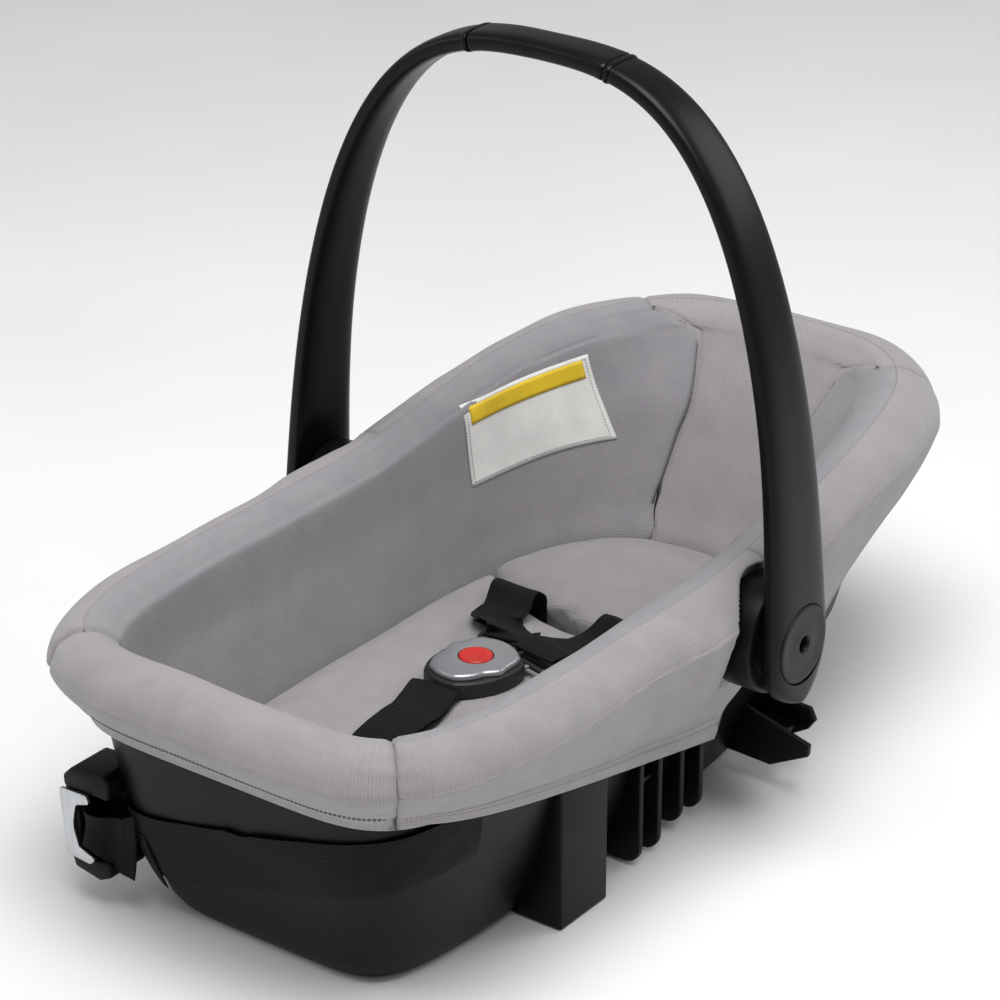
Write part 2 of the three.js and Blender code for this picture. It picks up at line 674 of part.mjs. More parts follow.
// ---- belt lock and belt on the foot end ----
const LOCK = { x0: -148, x1: -106, y0: -342, y1: -304, z0: 22, z1: 104 };
const cShape = (m) => [[LOCK.x0 + m, LOCK.z0 + 12 + m], [LOCK.x1 - 14, LOCK.z0 + 2 + m],
  [LOCK.x1 - 8, LOCK.z0 + 12], [LOCK.x1 - 24, LOCK.z0 + 26], [LOCK.x1 - 30, LOCK.z0 + 46],
  [LOCK.x1 - 24, LOCK.z1 - 24], [LOCK.x1 - 14, LOCK.z1 - 20], [LOCK.x1 - 14, LOCK.z1 - 8 - m],
  [LOCK.x0 + m, LOCK.z1 - 14 - m]];
const lockBody = cut(box(LOCK.x0, LOCK.x1, LOCK.y0, LOCK.y1, LOCK.z0, LOCK.z1),
  box(LOCK.x0 + 12, LOCK.x1 + 5, LOCK.y0 - 5, LOCK.y1 - 14, LOCK.z0 + 14, LOCK.z1 - 20),
  aroundTub, belt);
add('belt_lock', lockBody, blackPlastic);
add('belt_lock_plate', plateY(cShape(2), LOCK.y0 - 3.4, LOCK.y0 - GAP), steel);
add('foot_belt', belt, webbing);

// Webbing round the foot wall: it leaves the lock and rises under the right-hand skirt.
function footBelt(margin) {
  const path = evenAngles(RIM, 26, -Math.PI + 1.0, -0.42);
  const rings = path.map((angle, k) => {
    const t = k / 25;
    const z = mix(52, 116, smooth(t * 0.95 + 0.05));
    const half = (mix(50, 42, t) / 2) + margin;
    const at = (height) => outlinePoint(tubOutline(height), angle);
    const [low, high] = [at(z - half), at(z + half)];
    const q = outlinePoint(tubOutline(z), angle + 0.01);
    const p = outlinePoint(tubOutline(z), angle);
    const out = new THREE.Vector2(q.y - p.y, p.x - q.x).normalize();
    const ends = [[low, z - half], [high, z + half]];
    const near = 1.4 - margin;
    const far = 4 + margin;
    return [[0, near], [0, far], [1, far], [1, near]].map(([e, d]) => {
      const [point, height] = ends[e];
      return new THREE.Vector3(point.x + out.x * d, point.y + out.y * d, height);
    });
  });
  return loft(rings);
}

export default seat;
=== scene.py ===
import math
import bmesh
import bpy
import numpy as np
from mathutils import Matrix, Vector
from mathutils.bvhtree import BVHTree


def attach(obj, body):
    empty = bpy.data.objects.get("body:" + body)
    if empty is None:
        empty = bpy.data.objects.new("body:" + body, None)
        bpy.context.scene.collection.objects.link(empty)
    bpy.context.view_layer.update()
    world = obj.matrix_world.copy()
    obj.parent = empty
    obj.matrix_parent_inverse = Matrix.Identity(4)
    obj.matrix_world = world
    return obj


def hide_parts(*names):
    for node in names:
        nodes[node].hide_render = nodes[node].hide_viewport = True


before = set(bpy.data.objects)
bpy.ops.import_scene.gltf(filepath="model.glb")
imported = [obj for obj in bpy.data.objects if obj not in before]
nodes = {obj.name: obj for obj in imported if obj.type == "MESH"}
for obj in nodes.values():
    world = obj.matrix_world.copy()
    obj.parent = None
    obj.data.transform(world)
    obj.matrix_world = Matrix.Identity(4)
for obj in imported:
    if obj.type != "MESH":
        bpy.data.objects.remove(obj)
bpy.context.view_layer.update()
MM = 0.001

# ---- dimensions shared with the CAD, in millimetres ----
RIM = dict(w=160, y0=-20, foot=331, head=344, n_foot=5.8, n_head=3.2)
WALL, LINER_T, LINING_T = 4, 4, 3
PIVOT_Z = 160
SPLIT_Y = 12
LEVELS = np.array([
    [0, 98, 284, 196], [4, 107, 291, 228], [12, 112, 296, 256], [30, 119, 302, 290],
    [60, 129, 309, 322], [100, 138, 317, 340], [150, 147, 323, 347], [190, 151, 325, 347]], float)


def smooth(t):
    t = np.clip(t, 0, 1)
    return t * t * (3 - 2 * t)


def mix(a, b, t):
    return a + (b - a) * t


def spow(v, e):
    return np.sign(v) * np.abs(v) ** e


def rim_top(y):
    return 206 + 33 * smooth((y + 60) / 300)


def hem_z(y):
    if y < SPLIT_Y:
        return 58 + 0.265 * (SPLIT_Y - max(y, -315))
    return 150 - 68 * smooth((y - 30) / 75) + 52 * smooth((y - 105) / 115)


def outline_pt(o, a):
    c, s = math.cos(a), math.sin(a)
    n, reach = (o["n_head"], o["head"]) if s > 0 else (o["n_foot"], o["foot"])
    return np.array([o["w"] * spow(c, 2 / n), o["y0"] + reach * spow(s, 2 / n)])


def even_angles(o, count, a0, a1):
    near = np.geomspace(1e-11, 4e-3, 130)
    spots = [k * math.pi + d for k in (-1, 0, 1) for d in (*near, *-near, 0)]
    fine = np.array(sorted([*np.linspace(a0, a1, 1441), *[a for a in spots if a0 < a < a1]]))
    pts = np.array([outline_pt(o, a) for a in fine])
    run = run_of(pts)
    return np.interp(np.linspace(0, run[-1], count), run, fine)


def tub_outline(z):
    z = min(max(z, 0), 190)
    w, foot, head = (np.interp(z, LEVELS[:, 0], LEVELS[:, k]) for k in (1, 2, 3))
    return dict(w=w, y0=-20, foot=foot, head=head, n_foot=6.5, n_head=2.8)


def lift_at(y, z):
    return 1 + ((rim_top(y) - 18) / 190 - 1) * smooth(z / 190)


def tub_point(z, inset, angle, head_inset=0):
    o = tub_outline(z)
    o.update(w=o["w"] - inset, foot=o["foot"] - inset, head=o["head"] - inset - head_inset)
    x, y = outline_pt(o, angle)
    return np.array([x, y, z * lift_at(y, z)])


def head_slope(z):
    return min(96, max(22, 94 - 0.68 * (z - 92)))


def inner_point(z, inset, angle):
    return tub_point(z, inset, angle, head_slope(z))


def facing(o, angle, ahead=0.002):
    """The outline's point at an angle and the level direction out of it."""
    p, q = outline_pt(o, angle), outline_pt(o, angle + ahead)
    out = np.array([q[1] - p[1], p[0] - q[0]])
    return p, out / np.linalg.norm(out)


def run_of(points):
    """Distance along a line of points, starting at 0."""
    return np.concatenate([[0], np.cumsum(np.linalg.norm(np.diff(points, axis=0), axis=1))])


# ---- mesh helpers ----
def catmull(points, count):
    """Points evenly spaced along a smooth curve through the given ones."""
    p = np.array(points, float)
    p = np.vstack([2 * p[0] - p[1], p, 2 * p[-1] - p[-2]])
    out = []
    for i in range(1, len(p) - 2):
        for t in np.linspace(0, 1, 24, endpoint=False):
            a, b, c, d = p[i - 1:i + 3]
            out.append(0.5 * (2 * b + (c - a) * t + (2 * a - 5 * b + 4 * c - d) * t * t
                              + (3 * b - a - 3 * c + d) * t ** 3))
    out.append(p[-2])
    out = np.array(out)
    run = run_of(out)
    goal = np.linspace(0, run[-1], count)
    return np.stack([np.interp(goal, run, out[:, k]) for k in range(out.shape[1])], axis=1)


def put(name, verts, faces, mat, body="seat", replaced=(), uvs=None, sharp=None, slot=None):
    mesh = bpy.data.meshes.new(name)
    mesh.from_pydata([tuple(v) for v in np.asarray(verts, float) * MM], [], faces)
    if uvs is not None:
        layer = mesh.uv_layers.new(name="weave")
        layer.data.foreach_set("uv", np.asarray(uvs, np.float32).ravel() * MM)
    bm = bmesh.new()
    bm.from_mesh(mesh)
    bmesh.ops.recalc_face_normals(bm, faces=bm.faces)
    bm.to_mesh(mesh)
    bm.free()
    mesh.polygons.foreach_set("use_smooth", [True] * len(mesh.polygons))
    if sharp is not None:
        mesh.set_sharp_from_angle(angle=math.radians(sharp))
    obj = bpy.data.objects.new(name, mesh)
    bpy.context.scene.collection.objects.link(obj)
    mesh.materials.append(mat)
    if replaced:
        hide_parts(*replaced)
    if body:
        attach(obj, body)
    return obj


def skin(rings, closed=False, around=True, caps=True):
    """Faces and UVs, as lengths in mm, of rings joined in order. Returns verts, faces, uvs."""
    r = np.asarray(rings, float)
    n, m = r.shape[:2]
    ring_len = np.zeros((n, m + 1))
    step = np.linalg.norm(np.roll(r, -1, axis=1) - r, axis=2)
    ring_len[:, 1:] = np.cumsum(step, axis=1)
    sweep = np.concatenate([[0], np.cumsum(
        np.median(np.linalg.norm(np.diff(r, axis=0), axis=2), axis=1))])
    wide = ring_len.mean(axis=0)
    faces, uvs = [], []
    for a in range(n if closed else n - 1):
        b = (a + 1) % n
        v0, v1 = sweep[a], sweep[a + 1] if a + 1 < n else sweep[a] + 5
        for i in range(m if around else m - 1):
            j = (i + 1) % m
            faces.append((a * m + i, a * m + j, b * m + j, b * m + i))
            uvs += [(wide[i], v0), (wide[i + 1], v0), (wide[i + 1], v1), (wide[i], v1)]
    verts = r.reshape(-1, 3)
    if caps and not closed and around:
        for a, v in ((0, sweep[0]), (n - 1, sweep[-1])):
            verts = np.vstack([verts, r[a].mean(axis=0)])
            for i in range(m):
                j = (i + 1) % m
                faces.append((a * m + i, a * m + j, len(verts) - 1))
                uvs += [(wide[i], v), (wide[i + 1], v), (wide[i], v + 8)]
    return verts, faces, uvs


def loft(name, rings, mat, closed=False, **kw):
    verts, faces, uvs = skin(rings, closed)
    return put(name, verts, faces, mat, uvs=uvs, **kw)


def lathe_x(name, profile, mat, centre=(0, PIVOT_Z), sides=96, sharp=40, mirror=False, **kw):
    """Profile of (x, radius) turned round the pivot axis."""
    rings = []
    for k in range(sides):
        a = 2 * math.pi * k / sides
        rings.append([((-x if mirror else x), centre[0] + r * math.cos(a),
                       centre[1] + r * math.sin(a)) for x, r in profile])
    return loft(name, rings, mat, closed=True, sharp=sharp, **kw)


def bevelled(name, parts, mat, width=1.2, replaced=()):
    """Closed outline prisms joined in one object: each part is (outline, axis, low, high)."""
    bm = bmesh.new()
    for outline, axis, low, high in parts:
        make = {"x": lambda a, b, t: (t, a, b), "y": lambda a, b, t: (a, t, b),
                "z": lambda a, b, t: (a, b, t)}[axis]
        ends = [[bm.verts.new(Vector(make(a, b, t)) * MM) for a, b in outline]
                for t in (low, high)]
        bm.faces.new(ends[0])
        bm.faces.new(ends[1][::-1])
        for i in range(len(outline)):
            j = (i + 1) % len(outline)
            bm.faces.new((ends[0][i], ends[1][i], ends[1][j], ends[0][j]))
    bmesh.ops.recalc_face_normals(bm, faces=bm.faces)
    edges = [e for e in bm.edges if e.calc_face_angle(0) > 0.45]
    bmesh.ops.bevel(bm, geom=edges, offset=width * MM, segments=3, profile=0.5,
                    affect="EDGES", clamp_overlap=True)
    mesh = bpy.data.meshes.new(name)
    bm.to_mesh(mesh)
    bm.free()
    mesh.polygons.foreach_set("use_smooth", [True] * len(mesh.polygons))
    mesh.set_sharp_from_angle(angle=math.radians(32))
    obj = bpy.data.objects.new(name, mesh)
    bpy.context.scene.collection.objects.link(obj)
    mesh.materials.append(mat)
    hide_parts(*replaced)
    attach(obj, "seat")


# ---- materials ----
def linear(hex_code):
    rgb = [((hex_code >> s) & 255) / 255 for s in (16, 8, 0)]
    return [c / 12.92 if c <= 0.04045 else ((c + 0.055) / 1.055) ** 2.4 for c in rgb] + [1]


class Paint:
    def __init__(self, name, **sockets):
        self.mat = bpy.data.materials.new(name)
        self.mat.use_nodes = True
        self.tree = self.mat.node_tree
        self.bsdf = self.tree.nodes["Principled BSDF"]
        for key, value in sockets.items():
            self.bsdf.inputs[key.replace("_", " ")].default_value = value
        self.coord = self.tree.nodes.new("ShaderNodeTexCoord")

    def node(self, kind, settings=None, **inputs):
        n = self.tree.nodes.new("ShaderNode" + kind)
        for key, value in (settings or {}).items():
            setattr(n, key, value)
        for key, value in inputs.items():
            socket = n.inputs[int(key[1:])] if key[0] == "i" and key[1:].isdigit() \
                else n.inputs[key.replace("_", " ")]
            if isinstance(value, bpy.types.NodeSocket):
                self.tree.links.new(value, socket)
            else:
                socket.default_value = value
        return n

    def math(self, op, a, b=0.0, c=0.0):
        return self.node("Math", {"operation": op}, i0=a, i1=b, i2=c).outputs[0]

    def noise(self, space, scale, detail=3.0, rough=0.5):
        return self.node("TexNoise", Vector=space, Scale=scale, Detail=detail,
                         Roughness=rough).outputs["Fac"]

    def ramp(self, fac, stops):
        n = self.node("ValToRGB", i0=fac)
        while len(n.color_ramp.elements) < len(stops):
            n.color_ramp.elements.new(0.5)
        for e, (at, colour) in zip(n.color_ramp.elements, stops):
            e.position, e.color = at, colour
        return n.outputs["Color"]

    def blend(self, fac, a, b, mode="MIX"):
        n = self.node("Mix", {"data_type": "RGBA", "blend_type": mode})
        for socket, value in (("Factor", fac), ("A", a), ("B", b)):
            found = [s for s in n.inputs if s.name == socket and
                     (s.type == ("VALUE" if socket == "Factor" else "RGBA"))][0]
            if isinstance(value, bpy.types.NodeSocket):
                self.tree.links.new(value, found)
            else:
                found.default_value = value
        return [s for s in n.outputs if s.type == "RGBA"][0]

    def bump(self, height, distance, strength=1.0, normal=None):
        n = self.node("Bump", Height=height, Distance=distance, Strength=strength)
        if normal is not None:
            self.tree.links.new(normal, n.inputs["Normal"])
        return n.outputs["Normal"]

    def link(self, socket, value):
        self.tree.links.new(value, self.bsdf.inputs[socket])


def shade(colour, factor):
    return [min(1, c * factor) for c in colour[:3]] + [1]


def knit(name, hex_code, period=2.3, use_uv=True):
    """Spacer knit: a diagonal lattice of small stitches over a heathered yarn."""
    p = Paint(name, Roughness=0.93, Sheen_Weight=0.18, Sheen_Roughness=0.55,
              Specular_IOR_Level=0.25)
    space = p.coord.outputs["UV" if use_uv else "Object"]
    base = linear(hex_code)
    split = p.node("SeparateXYZ", Vector=space)
    u, v = split.outputs[0], split.outputs[1]
    k = 2 * math.pi / (period * MM)
    along = p.math("SINE", p.math("MULTIPLY", p.math("ADD", u, v), k * 0.7))
    across = p.math("SINE", p.math("MULTIPLY", p.math("SUBTRACT", u, v), k * 0.7))
    rows = p.math("SINE", p.math("MULTIPLY", v, k * 1.9))
    weave = p.math("MULTIPLY", along, across)
    yarn = p.noise(space, 2400.0, 2.0)
    mottle = p.noise(p.coord.outputs["Object"], 42.0, 4.0, 0.6)
    height = p.math("ADD", p.math("MULTIPLY", weave, 0.5), p.math("MULTIPLY", rows, 0.14))
    height = p.math("ADD", height, p.math("MULTIPLY", yarn, 0.5))
    # colour follows the height: the yarn noise gives the real heathered tone, while the weave valleys
    # are darkened as painted shade and the stitch tops lightened as painted highlight
    tint = p.ramp(p.math("MULTIPLY_ADD", height, 0.42, 0.4),
                  [(0.0, shade(base, 0.66)), (0.5, base), (1.0, shade(base, 1.22))])
    cloudy = p.ramp(mottle, [(0.3, (0.93, 0.93, 0.935, 1)), (0.7, (1.05, 1.045, 1.04, 1))])
    p.link("Base Color", p.blend(1.0, tint, cloudy, "MULTIPLY"))
    p.link("Normal", p.bump(height, 0.00035, 0.75))
    return p.mat


def web(name, hex_code, ribs=1.9):
    """Seat-belt webbing: lengthwise ribs crossed by a fine twill."""
    p = Paint(name, Roughness=0.75, Sheen_Weight=0.03, Specular_IOR_Level=0.2)
    space = p.coord.outputs["UV"]
    base = linear(hex_code)
    split = p.node("SeparateXYZ", Vector=space)
    u, v = split.outputs[0], split.outputs[1]
    k = 2 * math.pi / (ribs * MM)
    rib = p.math("SINE", p.math("MULTIPLY", u, k))
    twill = p.math("SINE", p.math("MULTIPLY", p.math("ADD", p.math("MULTIPLY", v, 2.4), u),
                                  k * 0.8))
    height = p.math("ADD", p.math("MULTIPLY", rib, 0.5), p.math("MULTIPLY", twill, 0.35))
    fuzz = p.noise(space, 1800.0, 2.0)
    tint = p.ramp(p.math("MULTIPLY_ADD", p.math("ADD", height, fuzz), 0.35, 0.35),
                  [(0.0, shade(base, 0.5)), (0.55, base), (1.0, shade(base, 2.6))])
    p.link("Base Color", tint)
    p.link("Normal", p.bump(height, 0.0003, 0.8))
    return p.mat


def moulded(name, hex_code, rough=0.42, grain=0.00003, metal=0.0, scale=1500.0, spec=0.5):
    """Injection-moulded part: fine spark-eroded grain, patchy gloss, faint rubbed spots."""
    p = Paint(name, Roughness=rough, Metallic=metal, Specular_IOR_Level=spec)
    space = p.coord.outputs["Object"]
    base = linear(hex_code)
    patch = p.noise(space, 18.0, 5.0, 0.65)
    scuff = p.noise(space, 160.0, 6.0, 0.75)
    fine = p.noise(space, scale, 2.0)
    worn = p.ramp(scuff, [(0.6, (0, 0, 0, 1)), (0.8, (1, 1, 1, 1))])
    tint = p.ramp(patch, [(0.3, shade(base, 0.86)), (0.7, shade(base, 1.12))])
    p.link("Base Color", p.blend(p.math("MULTIPLY", worn, 0.16), tint, shade(base, 2.4)))
    p.link("Roughness", p.math("ADD", p.math("MULTIPLY_ADD", patch, 0.14, rough - 0.07),
                               p.math("MULTIPLY", worn, 0.08)))
    p.link("Normal", p.bump(fine, grain, 0.8))
    return p.mat


def brushed(name, hex_code, rough=0.28):
    p = Paint(name, Roughness=rough, Metallic=1.0)
    space = p.node("Mapping", Vector=p.coord.outputs["Object"], Scale=(1, 1, 0.04)).outputs[0]
    lines = p.noise(space, 1400.0, 3.0)
    base = linear(hex_code)
    p.link("Base Color", p.ramp(lines, [(0.2, shade(base, 0.82)), (0.8, shade(base, 1.08))]))
    p.link("Roughness", p.math("MULTIPLY_ADD", lines, 0.16, rough - 0.06))
    p.link("Normal", p.bump(lines, 0.00002, 0.5))
    return p.mat


grey = knit("grey_knit", 0x9B9799)
grey_pad = knit("grey_knit_pad", 0x9B9799, use_uv=False)
# a darker copy of the grey knit: painted shade for the side walls of the lining
grey_painted_shade = knit("grey_knit_painted_shade", 0x939094)
strap_mat = web("webbing_black", 0x070708)
belt_mat = web("belt_black", 0x060607, 2.2)
shell_mat = moulded("shell_black", 0x0B0B0C, 0.42, spec=0.16)
handle_mat = moulded("handle_black", 0x060607, 0.34, 0.00002, spec=0.2)
button_mat = moulded("button_black", 0x111112, 0.42, spec=0.25)
nylon_mat = moulded("nylon_black", 0x1B1B1C, 0.5)
silver_mat = moulded("silver_paint", 0x9EA0A3, 0.32, 0.00001, 0.55, 2600.0)
red_mat = moulded("red_button", 0xC0261F, 0.34, 0.00001)
steel_mat = brushed("steel_bright", 0xC4C6C8)
foam_mat = moulded("foam_white", 0xE2E1DC, 0.9, 0.0003, 0.0, 700.0)
thread_mat = web("thread_grey", 0x6E6B6E, 0.6)
black_thread = web("thread_black", 0x29292A, 0.6)
tag_mat = moulded("tag_white", 0xE6E5E1, 0.55, 0.00002, 0.0, 900.0)
tag_yellow = moulded("tag_yellow", 0xE8C424, 0.5, 0.00002, 0.0, 900.0)

# ---- camera, floor and light ----
AZ, EL = math.radians(36.6), math.radians(25.2)
back = Vector((math.sin(AZ) * math.cos(EL), -math.cos(AZ) * math.cos(EL), math.sin(EL)))
right = Vector((math.cos(AZ), math.sin(AZ), 0))
up = back.cross(right)
camera = bpy.data.objects.new("camera", bpy.data.cameras.new("camera"))
bpy.context.scene.collection.objects.link(camera)
EYE = Vector((1.2615, -1.7519, 1.2226))
camera.matrix_world = Matrix((
    (right.x, up.x, back.x, EYE.x), (right.y, up.y, back.y, EYE.y),
    (right.z, up.z, back.z, EYE.z), (0, 0, 0, 1)))
LENS = 123.12
camera.data.lens = LENS
camera.data.sensor_width = 36
bpy.context.scene.camera = camera
bpy.context.scene.view_settings.view_transform = "Standard"

floor_paint = Paint("floor_pale", Roughness=0.75, Specular_IOR_Level=0.2)
soft = floor_paint.noise(floor_paint.coord.outputs["Object"], 3.0, 2.0)
floor_paint.link("Base Color", floor_paint.ramp(
    soft, [(0.3, (0.86, 0.86, 0.86, 1)), (0.7, (0.9, 0.9, 0.9, 1))]))
floor = put("floor", [(-9000, -9000, -0.5), (9000, -9000, -0.5), (9000, 9000, -0.5),
                      (-9000, 9000, -0.5)], [(0, 1, 2, 3)], floor_paint.mat, body=None)

world = bpy.data.worlds.new("studio")
bpy.context.scene.world = world
world.use_nodes = True
world.node_tree.nodes["Background"].inputs["Color"].default_value = (0.97, 0.98, 1.0, 1)
world.node_tree.nodes["Background"].inputs["Strength"].default_value = 0.36


def area(name, place, target, size, power):
    lamp = bpy.data.objects.new(name, bpy.data.lights.new(name, "AREA"))
    lamp.data.energy = power
    lamp.data.size = size
    lamp.location = place
    lamp.rotation_euler = (Vector(target) - Vector(place)).to_track_quat("-Z", "Y").to_euler()
    bpy.context.scene.collection.objects.link(lamp)


area("key", (0.5, -0.5, 2.5), (0, 0, 0.1), 1.6, 58)
area("fill", (-2.0, -1.6, 1.5), (0, 0, 0.2), 1.6, 12)
area("rim", (1.4, 1.9, 1.6), (0, 0, 0.2), 1.4, 16)


# ---- places on a side wall, for the tag ----
def tree_of(*objs):
    verts, faces = [], []
    for o in objs:
        start = len(verts)
        verts += [v.co.copy() for v in o.data.vertices]
        faces += [[start + i for i in f.vertices] for f in o.data.polygons]
    return BVHTree.FromPolygons(verts, faces)


def side_hit(tree, y, z, side):
    """Where a level line from the middle of the bed meets a piece, in mm, and its normal."""
    line = Vector((side, 0, 0))
    hit, normal, _, _ = tree.ray_cast(Vector((0, y * MM, z * MM)), line)
    if hit is None:
        return None
    if normal.dot(line) > 0:
        normal = -normal
    return np.array(hit) / MM, np.array(normal)


# ---- tub ----
ring_angles = even_angles(RIM, 220, 0, 2 * math.pi)[:-1]
outer_z = [0, 0.8, 2, 4, 7, 12, 20, 30, 45, 60, 80, 100, 125, 150, 172, 188]
tub = [[tub_point(z, 2.4 * (1 - min(1, z / 2)) ** 2, a) for a in ring_angles] for z in outer_z]
tub.append([tub_point(190, 0.8, a) for a in ring_angles])
tub.append([tub_point(190.5, 2, a) for a in ring_angles])
for z in (189, 150, 100, 60, 30, 12, 6):
    tub.append([tub_point(z, WALL, a) + (0, 0, 5 * (1 - smooth(z / 110))) for a in ring_angles])
loft("tub_shell", tub, shell_mat, replaced=("shell",), slot="shell_plastic", sharp=50)


def arc(cx, cy, r, a0, a1, steps=6):
    return [(cx + r * math.cos(math.radians(a)), cy + r * math.sin(math.radians(a)))
            for a in np.linspace(a0, a1, steps)]


def both(parts):
    out = []
    for outline, axis, low, high in parts:
        out.append((outline, axis, low, high))
        if axis == "x":
            out.append((outline, axis, -high, -low))
        else:
            out.append(([(-a, b) for a, b in outline], axis, low, high))
    return out


def wall(z0, z1, depth=2.0):
    """Points (x, z) just inside the tub wall between two heights, from the top down."""
    return [(float(tub_outline(z)["w"]) - depth, float(z)) for z in np.linspace(z1, z0, 9)]


leg = (wall(0.2, 110) + [(145, 0.2), (145, 110)], "y", -181, -128)
bevelled("tub_legs", both([leg]), shell_mat, 1.6, replaced=("shell",))
ribs = []
for i, y in enumerate((-84.5, -62, -32, -8)):
    low, edge = (2, 141) if i < 2 else (8, 139)
    ribs.append((wall(low, 96) + arc(edge - 12, low + 12, 12, -90, 0) + [(edge, 96)], "y", y,
                 y + 5))
ribs.append(([(-84.5, 60), (-57, 60), (-57, 64), (-84.5, 64)], "x", 124, 136))
ribs.append(([(-32, 60), (-3, 60), (-3, 64), (-32, 64)], "x", 124, 134))
bevelled("tub_ribs", both(ribs), shell_mat, 0.9, replaced=("shell",))
wings = [
    ([(112, 17), (150, 15.5), (181, 32), (181.6, 41), (131, 55), (125, 57)], "y", 66, 71),
    ([(114, 22), (130, 20), (150, 29), (166, 39), (171.5, 47), (167, 56), (149, 57), (126, 61)],
     "y", 90, 95),
    ([(119, 38.2), (157, 38.2), (157, 42.8), (119, 42.8)], "y", 69, 92)]
bevelled("belt_wings", both(wings), shell_mat, 1.1, replaced=("shell",))
posts = [([(-26, 136), (-24, 134), (24, 134), (26, 136), (26, 176), (24, 178), (-24, 178),
           (-26, 176)], "x", 144.5, 167.4)]
bevelled("hub_posts", both(posts), shell_mat, 1.0, replaced=("shell",))


# ---- fabric roll and skirt ----
def section(angle, start):
    """Closed section across the rim: outer points first, then the hem and the inside.
    start is the angle round the roll where the panel begins, in degrees."""
    p, out = facing(RIM, angle)
    head = smooth((p[1] - 120) / 160)
    r = 25 + 7 * head
    top = rim_top(p[1])
    centre = top - r
    hem = hem_z(p[1])

    def tub_at(z):
        wide = outline_pt(tub_outline(z), angle)
        return max((wide - p) @ out, -34)
    control = [(-11, top - 17)] if start > 120 else []
    for a in np.linspace(math.radians(start), -0.05 * math.pi, 13):
        control.append((r * math.cos(a), centre + r * math.sin(a)))
    hug = tub_at(hem) + 5
    control.append((mix(r, hug, mix(0.42, 0.2, head)), mix(centre, hem, mix(0.55, 0.42, head))))
    control.append((mix(r, hug, mix(0.75, 0.5, head)), mix(centre, hem, mix(0.8, 0.75, head))))
    control.append((hug + 5, hem))
    outer = catmull(control, OUTER)
    hem_turn = [(hug + 4.4, hem - 1.0), (hug + 3, hem - 1.5), (hug + 1.2, hem - 1.0),
                (hug - 0.4, hem + 0.4)]
    under = max(tub_at(top - 18) + 1.6, -9)
    if start > 120:
        inner = [(under + 1, centre - 0.2 * r), (under, top - 17.5)]
    else:
        inner = [((r - 3) * math.cos(a), centre + (r - 3) * math.sin(a))
                 for a in np.radians([0, 30, 60, start])]
    inside = catmull([(hug, hem + 3), (mix(r, hug, 0.42) - 4, mix(centre, hem, 0.5))] + inner, 13)
    flat = np.vstack([outer, hem_turn, inside])
    place = np.stack([p[0] + out[0] * flat[:, 0], p[1] + out[1] * flat[:, 0], flat[:, 1]], axis=1)
    return place


OUTER = 72
rng = np.random.default_rng(7)
waves = [(rng.uniform(0.02, 0.07), rng.uniform(0.015, 0.05), rng.uniform(0, 6.28),
          rng.uniform(0.15, 0.4)) for _ in range(9)]


def ripple(a, b):
    return sum(h * np.sin(i * a + k * b + f) for i, k, f, h in waves)


ARM_IN = 198     # inner face of the handle arms


def cover(name, a0, a1, steps, replaced, dips=(True, True), start=91):
    angles = even_angles(RIM, steps, a0 + 0.0012, a1 - 0.0012)
    rings = np.array([section(a, start) for a in angles])
    along = run_of(rings[:, 20])
    # outward normals of the outer surface
    du = np.gradient(rings, axis=1)
    dv = np.gradient(rings, axis=0)
    normal = np.cross(du, dv)
    normal /= np.linalg.norm(normal, axis=2, keepdims=True) + 1e-9
    middle = rings.mean(axis=1, keepdims=True)
    flip = np.sign(((rings[:, 20:30] - middle) * normal[:, 20:30]).sum())
    normal *= flip
    step = np.linalg.norm(np.diff(rings[:, :OUTER], axis=1), axis=2)
    from_hem = np.zeros((len(rings), OUTER))
    from_hem[:, :-1] = np.cumsum(step[:, ::-1], axis=1)[:, ::-1]
    s = along[:, None]
    push = 0.9 * ripple(s, from_hem)
    push *= smooth(from_hem / 25)
    push -= 1.1 * np.exp(-((from_hem - 13) / 1.3) ** 2)
    push += 0.5 * np.exp(-((from_hem - 7) / 4) ** 2)
    for end, dip in ((0.0, dips[0]), (along[-1], dips[1])):
        d = np.abs(s - end)
        if dip:
            push = push - 2.4 * np.exp(-(d / 2.6) ** 2) - 0.5 * np.exp(-(d / 9) ** 2) \
                + 0.35 * np.exp(-(d / 14) ** 2) * np.sin(from_hem * 0.42)
    tuck = np.exp(-(np.arange(OUTER)[None] / 5.0) ** 2)
    push = push * (1 - tuck)
    rings[:, :OUTER] += normal[:, :OUTER] * push[:, :, None]
    # the fabric swells in front of the handle joint and is tucked in behind it
    side = np.sign(rings[..., 0])
    y, z = rings[..., 1], rings[..., 2]
    swell = 9 * np.exp(-((y + 60) / 32) ** 2) * np.exp(-((z - 158) / 46) ** 2)
    mask = smooth((np.abs(rings[..., 0]) - 160) / 10)
    rings[..., 0] += side * swell * mask
    off = np.hypot(y, z - PIVOT_Z)
    wide = np.minimum(np.abs(rings[..., 0]), ARM_IN - 4)
    pocket = np.minimum(wide, 165.5)
    rings[..., 0] = side * np.where(off < 50, mix(pocket, wide, smooth((off - 41.5) / 7.5)), wide)
    obj = loft(name, rings, grey, replaced=replaced, slot="grey_fabric")
    return obj, rings


def angle_where(test, a0, a1):
    for a in np.linspace(a0, a1, 3001):
        if test(outline_pt(RIM, a)):
            return a
    return a1


